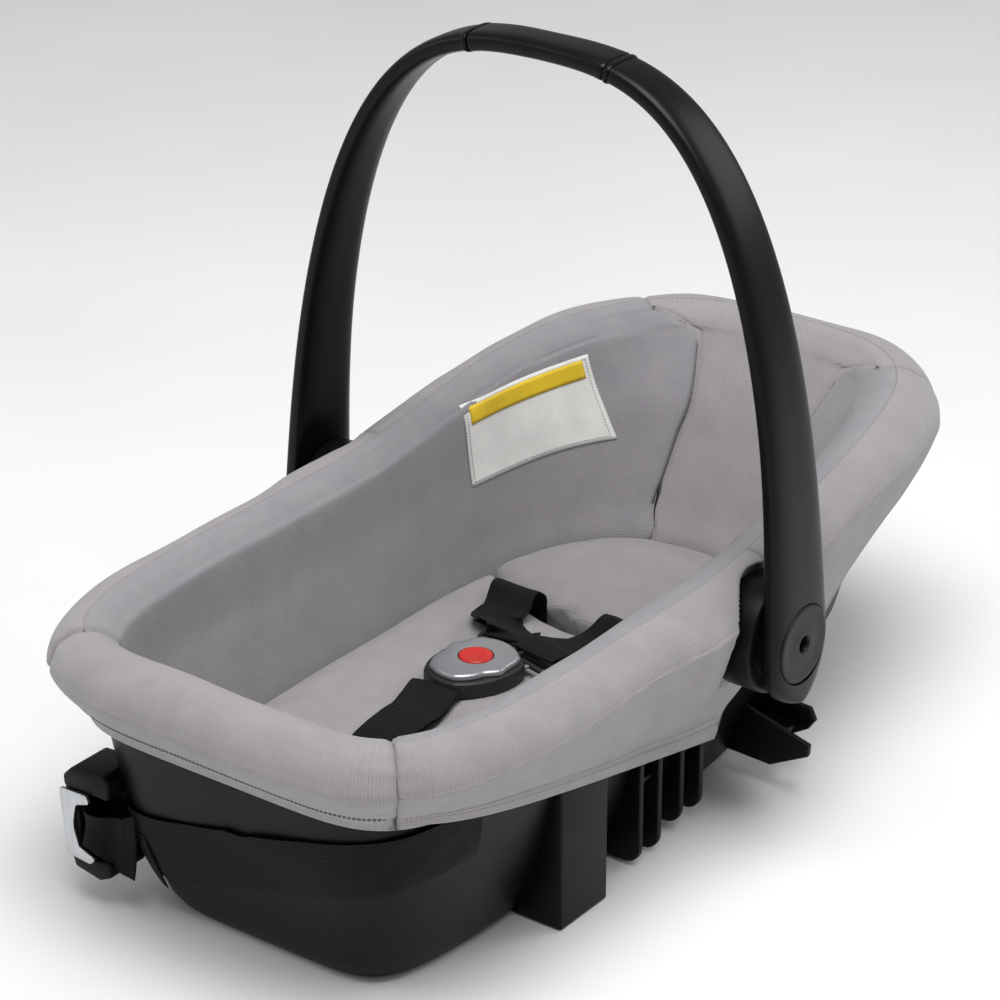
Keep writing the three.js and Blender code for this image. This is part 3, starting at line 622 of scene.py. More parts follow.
foot_seam = angle_where(lambda p: p[0] <= 128, 0, -math.pi / 2)
side_split = angle_where(lambda p: p[1] >= SPLIT_Y, -0.5, math.pi / 2)
head_seam = angle_where(lambda p: p[1] >= 286, 0, math.pi / 2)
PI = math.pi
_, foot_rings = cover("cover_foot_roll", -PI - foot_seam, foot_seam, 90, ("cover_foot",),
                      start=187)
_, right_rings = cover("cover_right_roll", foot_seam, side_split, 150, ("cover_side_right",),
                       dips=(True, False))
left_cover, left_rings = cover("cover_left_roll", PI - side_split, PI - foot_seam, 150,
                               ("cover_side_left",), dips=(False, True))
cover("cover_head_right", side_split, head_seam, 90, ("cover_head",), dips=(False, True))
cover("cover_head_end", head_seam, PI - head_seam, 110, ("cover_head",))
head_left, _ = cover("cover_head_left", PI - head_seam, PI - side_split, 90, ("cover_head",),
                     dips=(True, False))

# ---- lining of the inner walls: one sheet from the crest of the roll down to the pads ----
CREST = [(84, -1.8), (90, -0.35), (98, 0), (109, 0.2), (120, 0.4), (132, 0.7), (144, 1.0),
         (156, 1.4)]
UNDER_LIP = [(148, -4), (165, -3.6), (182, -3)]
LINING_Z = [158, 138, 118, 100, 86, 76, 66]


def roll_point(angle, phi, grow):
    p, out = facing(RIM, angle)
    r = 25 + 7 * smooth((p[1] - 120) / 160)
    d = (r + grow) * math.cos(math.radians(phi))
    return np.array([*(p + out * d), rim_top(p[1]) - r + (r + grow) * math.sin(math.radians(phi))])


def seam_y(z):
    return np.interp(z, [66, 92, 146, 188, 240], [188, 200, 236, 262, 288])


def seam_angle(z):
    """Where the slanting head seam crosses the lining at this level."""
    grid = np.linspace(0.02, PI / 2, 300)
    points = np.array([inner_point(z, 13.4, a) for a in grid])
    return float(np.interp(0, points[:, 1] - seam_y(points[:, 2]), grid))


HEAD_ENDS = [head_seam] * 4 + [mix(head_seam, seam_angle(158), t) for t in (0.2, 0.42, 0.66, 0.85)]
HEAD_ENDS += [seam_angle(z) for z in LINING_Z]
NEAR = WALL + LINER_T + 2.4
FACE = 64


def lining(name, first, last, steps, replaced, mat, slot, crest=None):
    """first and last are the panel's end angles, one per level from the crest down."""
    crest = crest or CREST
    rows = []
    for k, (a, b) in enumerate(zip(first, last)):
        o = RIM
        if k >= len(crest):
            z = LINING_Z[k - len(crest)]
            o = tub_outline(z)
            gap = NEAR + LINING_T
            o.update(w=o["w"] - gap, foot=o["foot"] - gap, head=o["head"] - gap - head_slope(z))
        rows.append(even_angles(o, steps, a, b))
    rows = np.array(rows)
    cols = []
    for k in range(steps):
        face, rear = [], []
        for i, (phi, grow) in enumerate(crest):
            face.append(roll_point(rows[i, k], phi, grow))
            rear.append(roll_point(rows[i, k], phi, grow - 1.2))
        for i, z in enumerate(LINING_Z):
            face.append(inner_point(z, NEAR + LINING_T, rows[len(crest) + i, k]))
            rear.append(inner_point(z, NEAR, rows[len(crest) + i, k]))
        cols.append(np.vstack([catmull(rear, 12)[::-1], catmull(face, FACE)]))
    cols = np.array(cols)
    front = cols[:, -FACE:]
    run = run_of(front[:, -9])
    normal = np.cross(np.gradient(front, axis=0), np.gradient(front, axis=1))
    normal /= np.linalg.norm(normal, axis=2, keepdims=True) + 1e-9
    inward = np.array([0.0, 20.0, 140.0]) - front
    normal *= np.sign((normal * inward).sum(axis=2, keepdims=True))
    down = np.linspace(0, 1, FACE)[None]
    bulge = 1.3 * np.sin(down * PI) ** 2 + 0.5 * ripple(run[:, None], front[..., 2])
    for end in (0, run[-1]):
        d = np.abs(run[:, None] - end)
        bulge -= 2.2 * np.exp(-(d / 2.2) ** 2) + 0.5 * np.exp(-(d / 8) ** 2)
    bulge *= smooth(down * 7)
    cols[:, -FACE:] += normal * bulge[:, :, None]
    obj = loft(name, cols, mat, replaced=replaced, slot=slot)
    return obj


levels = len(HEAD_ENDS)
low_levels = len(UNDER_LIP) + len(LINING_Z)
lining_head = lining("lining_head_panel", [a + 0.003 for a in HEAD_ENDS],
                     [PI - a - 0.003 for a in HEAD_ENDS], 110, ("lining_head",), grey,
                     "grey_fabric")
lining("lining_foot_panel", [-PI - foot_seam + 0.003] * low_levels,
       [foot_seam - 0.003] * low_levels, 90, ("lining_foot",), grey, "grey_fabric",
       crest=UNDER_LIP)
# the side panels take the darker copy of the grey knit as painted shade
lining("lining_right_panel", [foot_seam + 0.003] * levels, [a - 0.003 for a in HEAD_ENDS], 150,
       ("lining_right",), grey_painted_shade, "dark_fabric")
lining_left = lining("lining_left_panel", [PI - a + 0.003 for a in HEAD_ENDS],
                     [PI - foot_seam - 0.003] * levels, 150, ("lining_left",), grey_painted_shade,
                     "dark_fabric")


# ---- pads, inflated with cloth ----
def pad_edge(z, inset):
    return np.array([inner_point(z, inset, a)[:2] for a in even_angles(RIM, 400, 0, 2 * PI)[:-1]])


def clip_loop(loop, keep_line, sign):
    """The part of a loop on one side of the curved line y = keep_line(x)."""
    inside = sign * (loop[:, 1] - np.array([keep_line(x) for x in loop[:, 0]])) > 0
    start = [i for i in range(len(loop)) if inside[i] and not inside[i - 1]][0]
    run = []
    i = start
    while inside[i % len(loop)]:
        run.append(loop[i % len(loop)])
        i += 1
    x0, x1 = run[-1][0], run[0][0]
    line = [(x, keep_line(x)) for x in np.linspace(x0, x1, 60)]
    return np.array([tuple(p) for p in run] + line[1:-1])


def division(x):
    return 44 + 40 * (abs(x) / 110) ** 1.7


def pad(name, line, sign, replaced):
    loop = clip_loop(pad_edge(84, WALL + LINER_T + LINING_T + 4.5), line, sign)
    loop = catmull(np.vstack([loop, loop[:1]]), 321)[:-1]
    middle = loop.mean(axis=0)
    rings = []
    plan = [(0.02, 68), (0.5, 68), (0.93, 68), (0.985, 71), (1.0, 77), (0.995, 84), (0.97, 89),
            (0.9, 91.5), (0.75, 92.5), (0.5, 93), (0.25, 93), (0.02, 93)]
    for scale, z in plan:
        flat = middle + (loop - middle) * scale
        rings.append(np.column_stack([flat, np.full(len(flat), z)]))
    obj = loft(name, rings, grey_pad, replaced=replaced, slot="grey_fabric")
    inflate(obj, 0.0055, 0.006)
    co = np.array([v.co for v in obj.data.vertices]) / MM
    top = smooth((co[:, 2] - 84) / 6)
    edge = np.min(np.linalg.norm(co[:, None, :2] - loop[None, ::4], axis=2), axis=1)
    co[:, 2] += top * (0.35 * ripple(co[:, 0] * 1.3, co[:, 1]) - 1.4 * np.exp(-(edge / 4) ** 2))
    co[:, 2] = np.maximum(co[:, 2], 62)
    obj.data.vertices.foreach_set("co", (co * MM).ravel())


def inflate(obj, voxel, cap):
    """Cloth pressure with the movement capped, applied to the mesh."""
    scene = bpy.context.scene
    remesh = obj.modifiers.new("remesh", "REMESH")
    remesh.mode = "VOXEL"
    remesh.voxel_size = voxel
    graph = bpy.context.evaluated_depsgraph_get()
    mesh = bpy.data.meshes.new_from_object(obj.evaluated_get(graph))
    mat = obj.data.materials[0]
    obj.modifiers.clear()
    obj.data = mesh
    if not mesh.materials:
        mesh.materials.append(mat)
    rest = np.array([v.co for v in mesh.vertices])
    cloth = obj.modifiers.new("cloth", "CLOTH")
    cloth.settings.use_pressure = True
    cloth.settings.uniform_pressure_force = 4
    cloth.settings.effector_weights.gravity = 0
    cloth.settings.quality = 4
    for f in range(1, 21):
        scene.frame_set(f)
    graph = bpy.context.evaluated_depsgraph_get()
    moved = np.array([v.co for v in obj.evaluated_get(graph).data.vertices])
    obj.modifiers.clear()
    scene.frame_set(1)
    step = moved - rest
    size = np.linalg.norm(step, axis=1, keepdims=True)
    step *= np.minimum(1, cap / np.maximum(size, 1e-9))
    mesh.vertices.foreach_set("co", (rest + step).ravel())
    mesh.polygons.foreach_set("use_smooth", [True] * len(mesh.polygons))
    sub = obj.modifiers.new("smooth", "SUBSURF")
    sub.levels = sub.render_levels = 1


pad("seat_cushion", lambda x: division(x) - 2.2, -1, ("seat_pad",))
pad("back_cushion", lambda x: division(x) + 2.2, 1, ("back_pad",))

# ---- carry handle ----
ARCH_A, ARCH_B, ARCH_Z0, ARCH_N = 218.6, 581, -38, 2.88
ARM_OUT, LEG_W, TOP_W, LEG_DROP, GRIP_X = 215, 67, 30, 43, 59
pivot_angle = math.asin(((PIVOT_Z - ARCH_Z0) / ARCH_B) ** (ARCH_N / 2))
arch = np.array([[ARCH_A * math.cos(a) ** (2 / ARCH_N) if math.cos(a) > 0 else 0,
                  ARCH_Z0 + ARCH_B * math.sin(a) ** (2 / ARCH_N)]
                 for a in pivot_angle + (PI / 2 - pivot_angle) * np.linspace(0, 1, 601) ** 0.9])
arch_run = run_of(arch)
arch_len = arch_run[-1]
SIDES = 56
FOOT_SHARES = (0.02, 0.05, 0.09, 0.14, 0.2, 0.27)   # closer rings where the foot rounds off


def station(distance):
    p = np.array([np.interp(distance, arch_run, arch[:, k]) for k in (0, 1)])
    q = np.array([np.interp(min(distance + 2, arch_len), arch_run, arch[:, k]) for k in (0, 1)])
    o = np.array([np.interp(max(distance - 2, 0), arch_run, arch[:, k]) for k in (0, 1)])
    along = (q - o) / np.linalg.norm(q - o)
    if distance > arch_len - 1:
        along = np.array([-1.0, 0.0])
    share = distance / arch_len
    return dict(p=p, inward=np.array([-along[1], along[0]]),
                w=mix(LEG_W, TOP_W, share ** 0.85), t=mix(17, 14, smooth(share * 3)))


def handle_ring(st, grow=0.0):
    c = st["p"] + st["inward"] * st["t"] / 2
    ring = []
    for i in range(SIDES):
        a = 2 * PI * i / SIDES
        y = (st["w"] / 2 + grow) * spow(math.cos(a), 0.6)
        d = (st["t"] / 2 + grow) * spow(math.sin(a), 0.6)
        # a flat outer face with a soft shoulder along each edge
        ring.append((c[0] - st["inward"][0] * d, y, c[1] - st["inward"][1] * d))
    return np.array(ring)


def handle_arm():
    """Rings from the rounded foot of the leg, past the joint and up to the grip."""
    level = np.array([-1.0, 0.0])
    foot = station(0)
    rings = []
    for k in (*FOOT_SHARES, *np.linspace(0.35, 1, 16)[:-1]):
        a = PI / 2 * (1 - k)
        rings.append(handle_ring(dict(
            foot, p=np.array([ARM_OUT, PIVOT_Z - LEG_DROP * math.sin(a)]), inward=level,
            w=LEG_W * max(math.cos(a), 0.05) ** 0.9)))
    end = arch_len - GRIP_X - 2.4
    for k in np.linspace(0, 1, 110):
        st = station(end * k)
        if k == 0:
            st["inward"] = level
        rings.append(handle_ring(st, -0.35 * math.exp(-((end * k - 268) / 0.9) ** 2)))
    return rings


def cutter(x0, x1, r):
    bm = bmesh.new()
    bmesh.ops.create_cone(bm, cap_ends=True, segments=96, radius1=r * MM, radius2=r * MM,
                          depth=(x1 - x0) * MM,
                          matrix=Matrix.Translation(Vector(((x0 + x1) / 2, 0, PIVOT_Z)) * MM)
                          @ Matrix.Rotation(PI / 2, 4, "Y"))
    mesh = bpy.data.meshes.new("cutter")
    bm.to_mesh(mesh)
    bm.free()
    obj = bpy.data.objects.new("cutter", mesh)
    bpy.context.scene.collection.objects.link(obj)
    return obj


def carve(obj, tools):
    for tool in tools:
        m = obj.modifiers.new("cut", "BOOLEAN")
        m.operation, m.object, m.solver = "DIFFERENCE", tool, "EXACT"
    graph = bpy.context.evaluated_depsgraph_get()
    mesh = bpy.data.meshes.new_from_object(obj.evaluated_get(graph))
    obj.modifiers.clear()
    obj.data = mesh
    for tool in tools:
        bpy.data.objects.remove(tool)


def flipped(obj, name, replaced, body):
    """A mirrored copy on the left side."""
    mesh = obj.data.copy()
    mesh.transform(Matrix.Scale(-1, 4, (1, 0, 0)))
    mesh.flip_normals()
    copy = bpy.data.objects.new(name, mesh)
    bpy.context.scene.collection.objects.link(copy)
    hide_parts(*replaced)
    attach(copy, body)


arm = loft("arm_right", handle_arm(), handle_mat, body=None)
carve(arm, [cutter(206.4, 230, 28.6), cutter(180, 202.6, 24), cutter(180, 230, 12.7)])
arm.data.polygons.foreach_set("use_smooth", [True] * len(arm.data.polygons))
arm.data.set_sharp_from_angle(angle=math.radians(40))
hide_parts("handle_arm_right")
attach(arm, "handle")
flipped(arm, "arm_left", ("handle_arm_left",), "handle")


def middle(name, x0, x1, grow, steps, replaced, lip=0.0):
    rings = []
    for x in np.linspace(x0, x1, steps):
        edge = min(abs(x - x0), abs(x - x1))
        g = grow - 0.5 * math.exp(-(edge / 0.8) ** 2) + lip * math.exp(-(edge / 6) ** 2)
        ring = handle_ring(station(arch_len - abs(x)), g)
        if x < 0:
            ring = ring * (-1, 1, 1)
        rings.append(ring)
    return loft(name, rings, handle_mat, body="handle", replaced=replaced, slot="handle_plastic",
                sharp=40)


middle("collar_right", GRIP_X - 2, GRIP_X + 2, 0.9, 14, ("grip_collar_right",))
middle("collar_left", -GRIP_X - 2, -GRIP_X + 2, 0.9, 14, ("grip_collar_left",))
middle("grip_sleeve", -55.8, 55.8, 0.3, 90, ("handle_grip",), lip=0.2)

# ---- handle joint ----
hub_profile = [(168, 5), (168, 38.6), (168.4, 39.6), (169.4, 40), (193.6, 40), (194.8, 39.5),
               (195.4, 38.4), (195.4, 28.6), (194.8, 27.8), (172.4, 27.4), (172, 26.8), (172, 5)]
button_profile = [(203, 5.6), (211.6, 5.6), (213.6, 5.8), (214.4, 6.6), (214.5, 8.5), (214.1, 12),
                  (213.9, 18), (214.2, 24), (214.4, 26.6), (213.9, 27.7), (212.8, 28), (211.5, 28),
                  (211.4, 12.2), (203.2, 12), (202.8, 11.4)]
for side, flip in (("right", False), ("left", True)):
    lathe_x(f"hub_disc_{side}", hub_profile, shell_mat, mirror=flip,
            replaced=(f"handle_hub_{side}",), slot="shell_plastic")
    lathe_x(f"button_{side}", button_profile, button_mat, mirror=flip, body=f"release_{side}",
            replaced=(f"release_button_{side}",), slot="handle_plastic")
    for part, mat in (("lock_ring", nylon_mat), ("lock_gear", nylon_mat),
                      ("lock_spring", steel_mat)):
        nodes[f"{part}_{side}"].data.materials.clear()
        nodes[f"{part}_{side}"].data.materials.append(mat)
    screw = [(150, 0.05), (150, 3.4), (150.6, 4), (203.6, 4), (204, 5.4), (204.4, 5.3),
             (207.4, 5.2), (208, 4.6), (208, 2.6), (205.2, 2.5), (205, 0.05)]
    lathe_x(f"screw_{side}", screw, steel_mat, mirror=flip, sides=48,
            replaced=(f"pivot_screw_{side}",), slot="steel")


# ---- harness ----
def ribbon(name, route, across, width, thick, mat, steps, body="seat", replaced=(), curl=0.0,
           widths=None, slot="webbing"):
    """A flat strap with rounded edges along a smooth curve. `across` may change along it."""
    path = catmull(route, steps)
    tangent = np.gradient(path, axis=0)
    tangent /= np.linalg.norm(tangent, axis=1, keepdims=True)
    keys = np.array([across, across] if np.ndim(across) == 1 else across, float)
    rings = []
    for k in range(steps):
        t = k / (steps - 1)
        at = t * (len(keys) - 1)
        i = min(int(at), len(keys) - 2)
        wide = mix(keys[i], keys[i + 1], at - i)
        wide = wide - tangent[k] * (wide @ tangent[k])
        wide /= np.linalg.norm(wide)
        norm = np.cross(tangent[k], wide)
        half = (width if widths is None else np.interp(t, *widths)) / 2
        ring = []
        for face in (1, -1):
            for e in face * np.linspace(-1, 1, 11):
                edge = thick / 2 * (1 - 0.55 * smooth((abs(e) - 0.86) / 0.14))
                lift = curl * (e * e - 0.3) + 0.12 * math.sin(k * 0.9 + e * 2)
                ring.append(path[k] + wide * half * e + norm * (face * edge + lift))
        rings.append(ring)
    return loft(name, rings, mat, body=body, replaced=replaced, slot=slot, sharp=60)


def stitches(name, lines, mat, size=(1.5, 0.42), gap=2.6, body="seat", slot="webbing"):
    """Rows of sewn thread: each line is points with normals, laid as short raised beads."""
    verts, faces = [], []
    for points, normals in lines:
        p, nrm = np.asarray(points, float), np.asarray(normals, float)
        run = run_of(p)
        if run[-1] < gap:
            continue
        for s in np.arange(gap / 2, run[-1], gap):
            c = np.array([np.interp(s, run, p[:, k]) for k in range(3)])
            d = np.array([np.interp(min(s + 0.5, run[-1]), run, p[:, k]) for k in range(3)]) - \
                np.array([np.interp(max(s - 0.5, 0), run, p[:, k]) for k in range(3)])
            d /= np.linalg.norm(d) + 1e-9
            u = np.array([np.interp(s, run, nrm[:, k]) for k in range(3)])
            u /= np.linalg.norm(u) + 1e-9
            w = np.cross(d, u)
            start = len(verts)
            for f, g in ((-1, 0.35), (-0.55, 1), (0.55, 1), (1, 0.35)):
                for a in range(6):
                    b = a * PI / 3
                    verts.append(c + d * f * size[0] / 2 * 1.25
                                 + (w * math.cos(b) + u * math.sin(b)) * size[1] * g)
            for r in range(3):
                for a in range(6):
                    faces.append((start + r * 6 + a, start + r * 6 + (a + 1) % 6,
                                  start + (r + 1) * 6 + (a + 1) % 6, start + (r + 1) * 6 + a))
            faces.append(tuple(start + a for a in range(5, -1, -1)))
            faces.append(tuple(start + 18 + a for a in range(6)))
    return put(name, verts, faces, mat, body=body, slot=slot)


BUCKLE_AT = np.array([-3.0, -80.0, 99.0])
TURN = math.radians(-14)


def buckle_point(x, y, z):
    c, s = math.cos(TURN), math.sin(TURN)
    return BUCKLE_AT + (x * c - y * s, x * s + y * c, z)


cross = buckle_point(1, 0, 0) - BUCKLE_AT
for side, s in (("right", 1), ("left", -1)):
    bar = buckle_point(14 * s, 43.5, 8)
    route = [(52 * s, 48, 14), (52 * s, 48, 60), (52 * s, 48, 90), (50.5 * s, 44, 104),
             (48 * s, 30, 112), (43 * s, 12, 104.5), (38 * s, -6, 104), (bar[0] + 5 * s, -25, 110),
             tuple(bar + (1.5 * s, 6, 4.0)), tuple(bar + (0, -1.8, 3.2))]
    ribbon(f"strap_{side}", route, [(1, 0, 0), (1, 0, 0), (1, 0, 0), cross, cross], 38, 1.7,
           strap_mat, 90, replaced=(f"shoulder_strap_{side}",), curl=0.5)
    fold = [tuple(bar + (0, -2.2, -1.5)), tuple(bar + (1 * s, 6, -2.6)),
            (bar[0] + 5 * s, -22, 106), (40 * s, -2, 101)]
    ribbon(f"strap_fold_{side}", fold, [cross, cross, (1, 0, 0)], 37.4, 1.7, strap_mat, 40,
           curl=0.4)
    lines = []
    for f in (0.1, 0.3, 0.5, 0.7, 0.9):
        a = np.array((bar[0] + 5 * s - 15, -27 + 1.5, 112.2)) * (1 - f) + \
            np.array((38 * s - 15, -8, 106.4)) * f
        lines.append(([a + cross * t * 30 for t in (0, 0.5, 1)], [(0, 0, 1)] * 3))
    stitches(f"strap_stitch_{side}", lines, black_thread)

crotch = [(0, -203, 14), (0, -203, 60), (0, -203, 88), (0, -199, 98), (0, -186, 103),
          (-0.5, -165, 105.5), (-1, -143, 106), (-7, -124, 107), (-10, -112, 107)]
ribbon("strap_crotch", crotch, [(1, 0, 0), (1, 0, 0), cross], 38, 1.8, strap_mat, 80,
       replaced=("crotch_strap",), curl=0.4)
under = [(-9.6, -112, 104.8), (-7, -126, 103.6), (-2, -146, 102.4), (-0.6, -160, 101.8),
         (-0.5, -168, 101.4)]
ribbon("strap_crotch_fold", under, [cross, (1, 0, 0)], 40, 3.4, strap_mat, 36, curl=0.2)
rows = []
for y in (-160, -155, -150, -133, -128, -123):
    off = np.interp(y, [-165, -143, -124, -112], [-0.5, -1, -7, -10])
    z = 107.1 if y > -140 else 106.8
    rows.append(([(off + x, y + x * cross[1] * smooth((y + 150) / 30), z) for x in (-15, 0, 15)],
                 [(0, 0, 1)] * 3))
stitches("crotch_stitch", rows, black_thread)
for node in ("anchor_plate_right", "anchor_plate_left", "anchor_plate_crotch", "buckle_spring"):
    nodes[node].data.materials.clear()
    nodes[node].data.materials.append(steel_mat)
foam_angles = even_angles(RIM, 160, 0, 2 * PI)[:-1]
foam = [[tub_point(z, 4.9, a) + (0, 0, 6 * (1 - smooth(z / 110))) for a in foam_angles]
        for z in (12, 30, 60, 100, 150)]
foam += [[inner_point(z, 8.9, a) for a in foam_angles] for z in (149, 100, 66)]
foam.append([np.append(inner_point(60, 13, a)[:2], 58) for a in foam_angles])
loft("foam_shell", foam, foam_mat, replaced=("foam_liner",), slot="foam", sharp=50)

# ---- buckle ----
SHIELD = [(-16, -31), (16, -31), (27, -12), (29, 8), (23, 27), (-23, 27), (-29, 8), (-27, -12)]


def rounded(points, r, steps=7):
    out = []
    n = len(points)
    for i in range(n):
        p, a, b = (np.array(points[k % n], float) for k in (i, i - 1, i + 1))
        da, db = (a - p) / np.linalg.norm(a - p), (b - p) / np.linalg.norm(b - p)
        s, e = p + da * r, p + db * r
        out += [(1 - t) ** 2 * s + 2 * t * (1 - t) * p + t * t * e for t in np.linspace(0, 1, steps)]
    return np.array(out)


def around(loop, count, centre=(0, 2)):
    """The loop sampled at even angles round a centre."""
    c = np.array(centre)
    angle = np.unwrap(np.arctan2(loop[:, 1] - c[1], loop[:, 0] - c[0]))
    if angle[-1] < angle[0]:
        loop, angle = loop[::-1], angle[::-1]
    far = np.linalg.norm(loop - c, axis=1)
    goal = np.linspace(0, 2 * PI, count, endpoint=False) + angle[0]
    ext = np.concatenate([angle, [angle[0] + 2 * PI]])
    return np.stack([c + (math.cos(g), math.sin(g)) * np.array(
        [np.interp(g, ext, np.append(far, far[0]))] * 2) for g in goal])


def stack(loop, plan, count):
    """Rings from the outline (t 1) towards the button well (t 0), each at its own height."""
    rings = []
    c = np.array((0, 2.0))
    base = around(loop, count)
    for t, grow, z in plan:
        ring = []
        for p in base:
            out = (p - c) / np.linalg.norm(p - c)
            q = mix(c + out * 12.9, p, t) + out * grow
            ring.append(buckle_point(q[0], q[1], z))
        rings.append(ring)
    return rings


shield = rounded(SHIELD, 3)
loft("buckle_base", stack(shield, [(1, -1.4, 0), (1, 0, 0.8), (1, 1, 2.5), (1, 1.2, 7), (1, 1, 11),
                                   (1, 0.2, 12.6), (1, -0.8, 13), (0.4, 0, 13), (0, -0.2, 13),
                                   (0, -0.2, 3), (0.5, 0, 0.6)], 128), nylon_mat, closed=True,
     replaced=("buckle_body",), slot="nylon", sharp=50)
face = rounded([(-14, -30), (14, -30), (24, -8), (29.4, 2), (26, 11), (21, 27), (-21, 27), (-26, 11),
                (-29.4, 2), (-24, -8)], 2.4)
loft("buckle_face", stack(face, [(1, -1.6, 13.4), (1, -1.0, 13.7), (1, -0.9, 15.4),
                                   (1, -1.8, 16.8), (1, -3.6, 17.5), (0.55, 0, 17.9),
                                   (0.2, 0, 18.3), (0.06, 0, 18.3), (0, -0.1, 17.9),
                                   (0, -0.1, 13.5)], 128), silver_mat, closed=True,
     replaced=("buckle_cover",), slot="silver_plastic", sharp=50)
button_rings = []
for r, z in ((0.2, 9.2), (11.4, 9.2), (12, 9.8), (12, 17.6), (11.6, 18.5), (10.4, 18.9), (8, 18.7),
             (4, 18.4), (0.2, 18.3)):
    button_rings.append([buckle_point(r * math.cos(a), 2 + r * math.sin(a), z)
                         for a in np.linspace(0, 2 * PI, 72, endpoint=False)])
loft("buckle_press_button", button_rings, red_mat, body="buckle_press",
     replaced=("buckle_button",), slot="red_plastic", sharp=50)


def bar_loop(name, x, replaced):
    """A tongue blade with a round-bar loop for its strap, as rings swept round the loop."""
    half_x, half_y, r = 21.8, 6.0, 2.1
    corners = [(x - half_x, 33.2), (x + half_x, 33.2), (x + half_x, 33.2 + 2 * half_y),
               (x - half_x, 33.2 + 2 * half_y)]
    x_min, x_max = (1.6 + r, 99) if x > 0 else (-99, -1.6 - r)
    corners = [(min(max(a, x_min), x_max), b) for a, b in corners]
    loop = rounded(corners, 4.2, 8)
    n = len(loop)
    rings = []
    for i in range(n):
        d = loop[(i + 1) % n] - loop[i - 1]
        d /= np.linalg.norm(d) + 1e-9
        out = np.array((d[1], -d[0]))
        rings.append([buckle_point(*(loop[i] + out * r * math.cos(b)), 7.8 + r * math.sin(b))
                      for b in np.linspace(0, 2 * PI, 14, endpoint=False)])
    loft(name, rings, nylon_mat, closed=True, replaced=replaced, slot="nylon")
    blade = rounded([(x - 8.6, 15), (x + 8.6, 15), (x + 8.6, 33.5), (x - 8.6, 33.5)], 1.6, 4)
    plate = []
    for z, grow in ((6.8, -0.3), (7.1, 0), (8.5, 0), (8.8, -0.3)):
        c = blade.mean(axis=0)
        plate.append([buckle_point(*(p + (p - c) / np.linalg.norm(p - c) * grow), z)
                      for p in blade])
    loft(name + "_blade", plate, steel_mat, replaced=replaced, slot="nylon", sharp=50)


bar_loop("tongue_loop_right", 14, ("tongue_right",))
bar_loop("tongue_loop_left", -14, ("tongue_left",))

# ---- belt lock and belt at the foot end ----
LX0, LX1, LY0, LY1, LZ0, LZ1 = -148, -106, -342, -306, 22, 104
bevelled("lock_housing", [
    ([(LX0 + 2, LZ1 - 18), (LX0 + 1, LZ1 - 10), (LX0 + 9, LZ1 - 2), (LX1 - 4, LZ1), (LX1, LZ1 - 4),
      (LX1 - 1, LZ1 - 18)], "y", LY0, LY1),
    ([(LX0 + 8, LZ0 + 4), (LX1 - 12, LZ0), (LX1 - 2, LZ0 + 5), (LX1 - 2, LZ0 + 15),
      (LX0 + 5, LZ0 + 16)], "y", LY0, LY1),
    ([(LX0 + 4, LZ0 + 12), (LX0 + 14, LZ0 + 12), (LX0 + 13, LZ1 - 12), (LX0 + 2, LZ1 - 12)], "y",
     LY0 + 0.6, LY1),
    ([(LX0 + 10, LZ0 + 10), (LX1 - 4, LZ0 + 10), (LX1 - 4, LZ1 - 12), (LX0 + 10, LZ1 - 12)], "y",
     LY1 - 9, LY1)], shell_mat, 2.2, replaced=("belt_lock",))
c_plate = rounded([(LX0 + 0.6, LZ1 - 18), (LX0 + 4.6, LZ0 + 15), (LX1 - 16, LZ0 + 13),
                   (LX1 - 12, LZ0 + 18), (LX1 - 26, LZ0 + 23), (LX1 - 30, LZ0 + 36),
                   (LX1 - 30, LZ1 - 40), (LX1 - 27, LZ1 - 27), (LX1 - 15, LZ1 - 23),
                   (LX1 - 17, LZ1 - 17)], 2.0, 4)
bevelled("lock_steel", [([tuple(p) for p in c_plate], "y", LY0 - 3.4, LY0 - 0.4)], steel_mat, 0.7,
         replaced=("belt_lock_plate",))


def belt_strip(name, a0, a1, z_of, half_of, off, thick, steps, replaced=()):
    rings = []
    run = 0
    before = None
    for k, angle in enumerate(even_angles(RIM, steps, a0, a1)):
        t = k / (steps - 1)
        z, half = z_of(t), half_of(t)
        p, out = facing(tub_outline(z), angle, 0.01)
        run += 0 if before is None else np.linalg.norm(p - before)
        before = p
        ring = []
        for face in (1, -1):
            for j in range(13):
                e = (-1 + 2 * j / 12) * face
                height = z + half * e
                at = outline_pt(tub_outline(height), angle)
                lift = off + 0.5 * math.sin(run * 0.045 + e * 1.7) + 0.25 * math.sin(run * 0.13 - e * 4)
                lift += thick / 2 * face * (1 - 0.5 * smooth((abs(e) - 0.88) / 0.12))
                ring.append((at[0] + out[0] * lift, at[1] + out[1] * lift, height))
        rings.append(ring)
    return loft(name, rings, belt_mat, replaced=replaced, slot="webbing", sharp=60)


belt_z = lambda t: mix(52, 116, smooth(t * 0.95 + 0.05))
belt_half = lambda t: mix(25, 21, t)
belt_strip("belt_run", -PI + 1.0, -0.42, belt_z, belt_half, 2.7, 1.6, 150,
           replaced=("foot_belt",))
belt_strip("belt_tail", -PI + 1.02, -PI + 1.33, lambda t: 41 + 2 * t, lambda t: mix(17, 21, t), 4.6,
           1.5, 30)
throat = [(-131, -338.6, 62), (-126, -342.0, 60), (-119, -340.6, 58), (-110, -335.5, 55),
          (-101, -334.6, 53), (-92, -333, 52.6)]
ribbon("belt_throat", throat, (0, 0, 1), 40, 1.7, belt_mat, 40, curl=2.6,
       widths=([0, 0.25, 0.5, 0.8, 1], [30, 26, 33, 44, 49]))

# ---- tag on the far lining, sticker on the tub, hem and strap stitching ----
inner_tree = tree_of(left_cover, head_left, lining_left, lining_head)


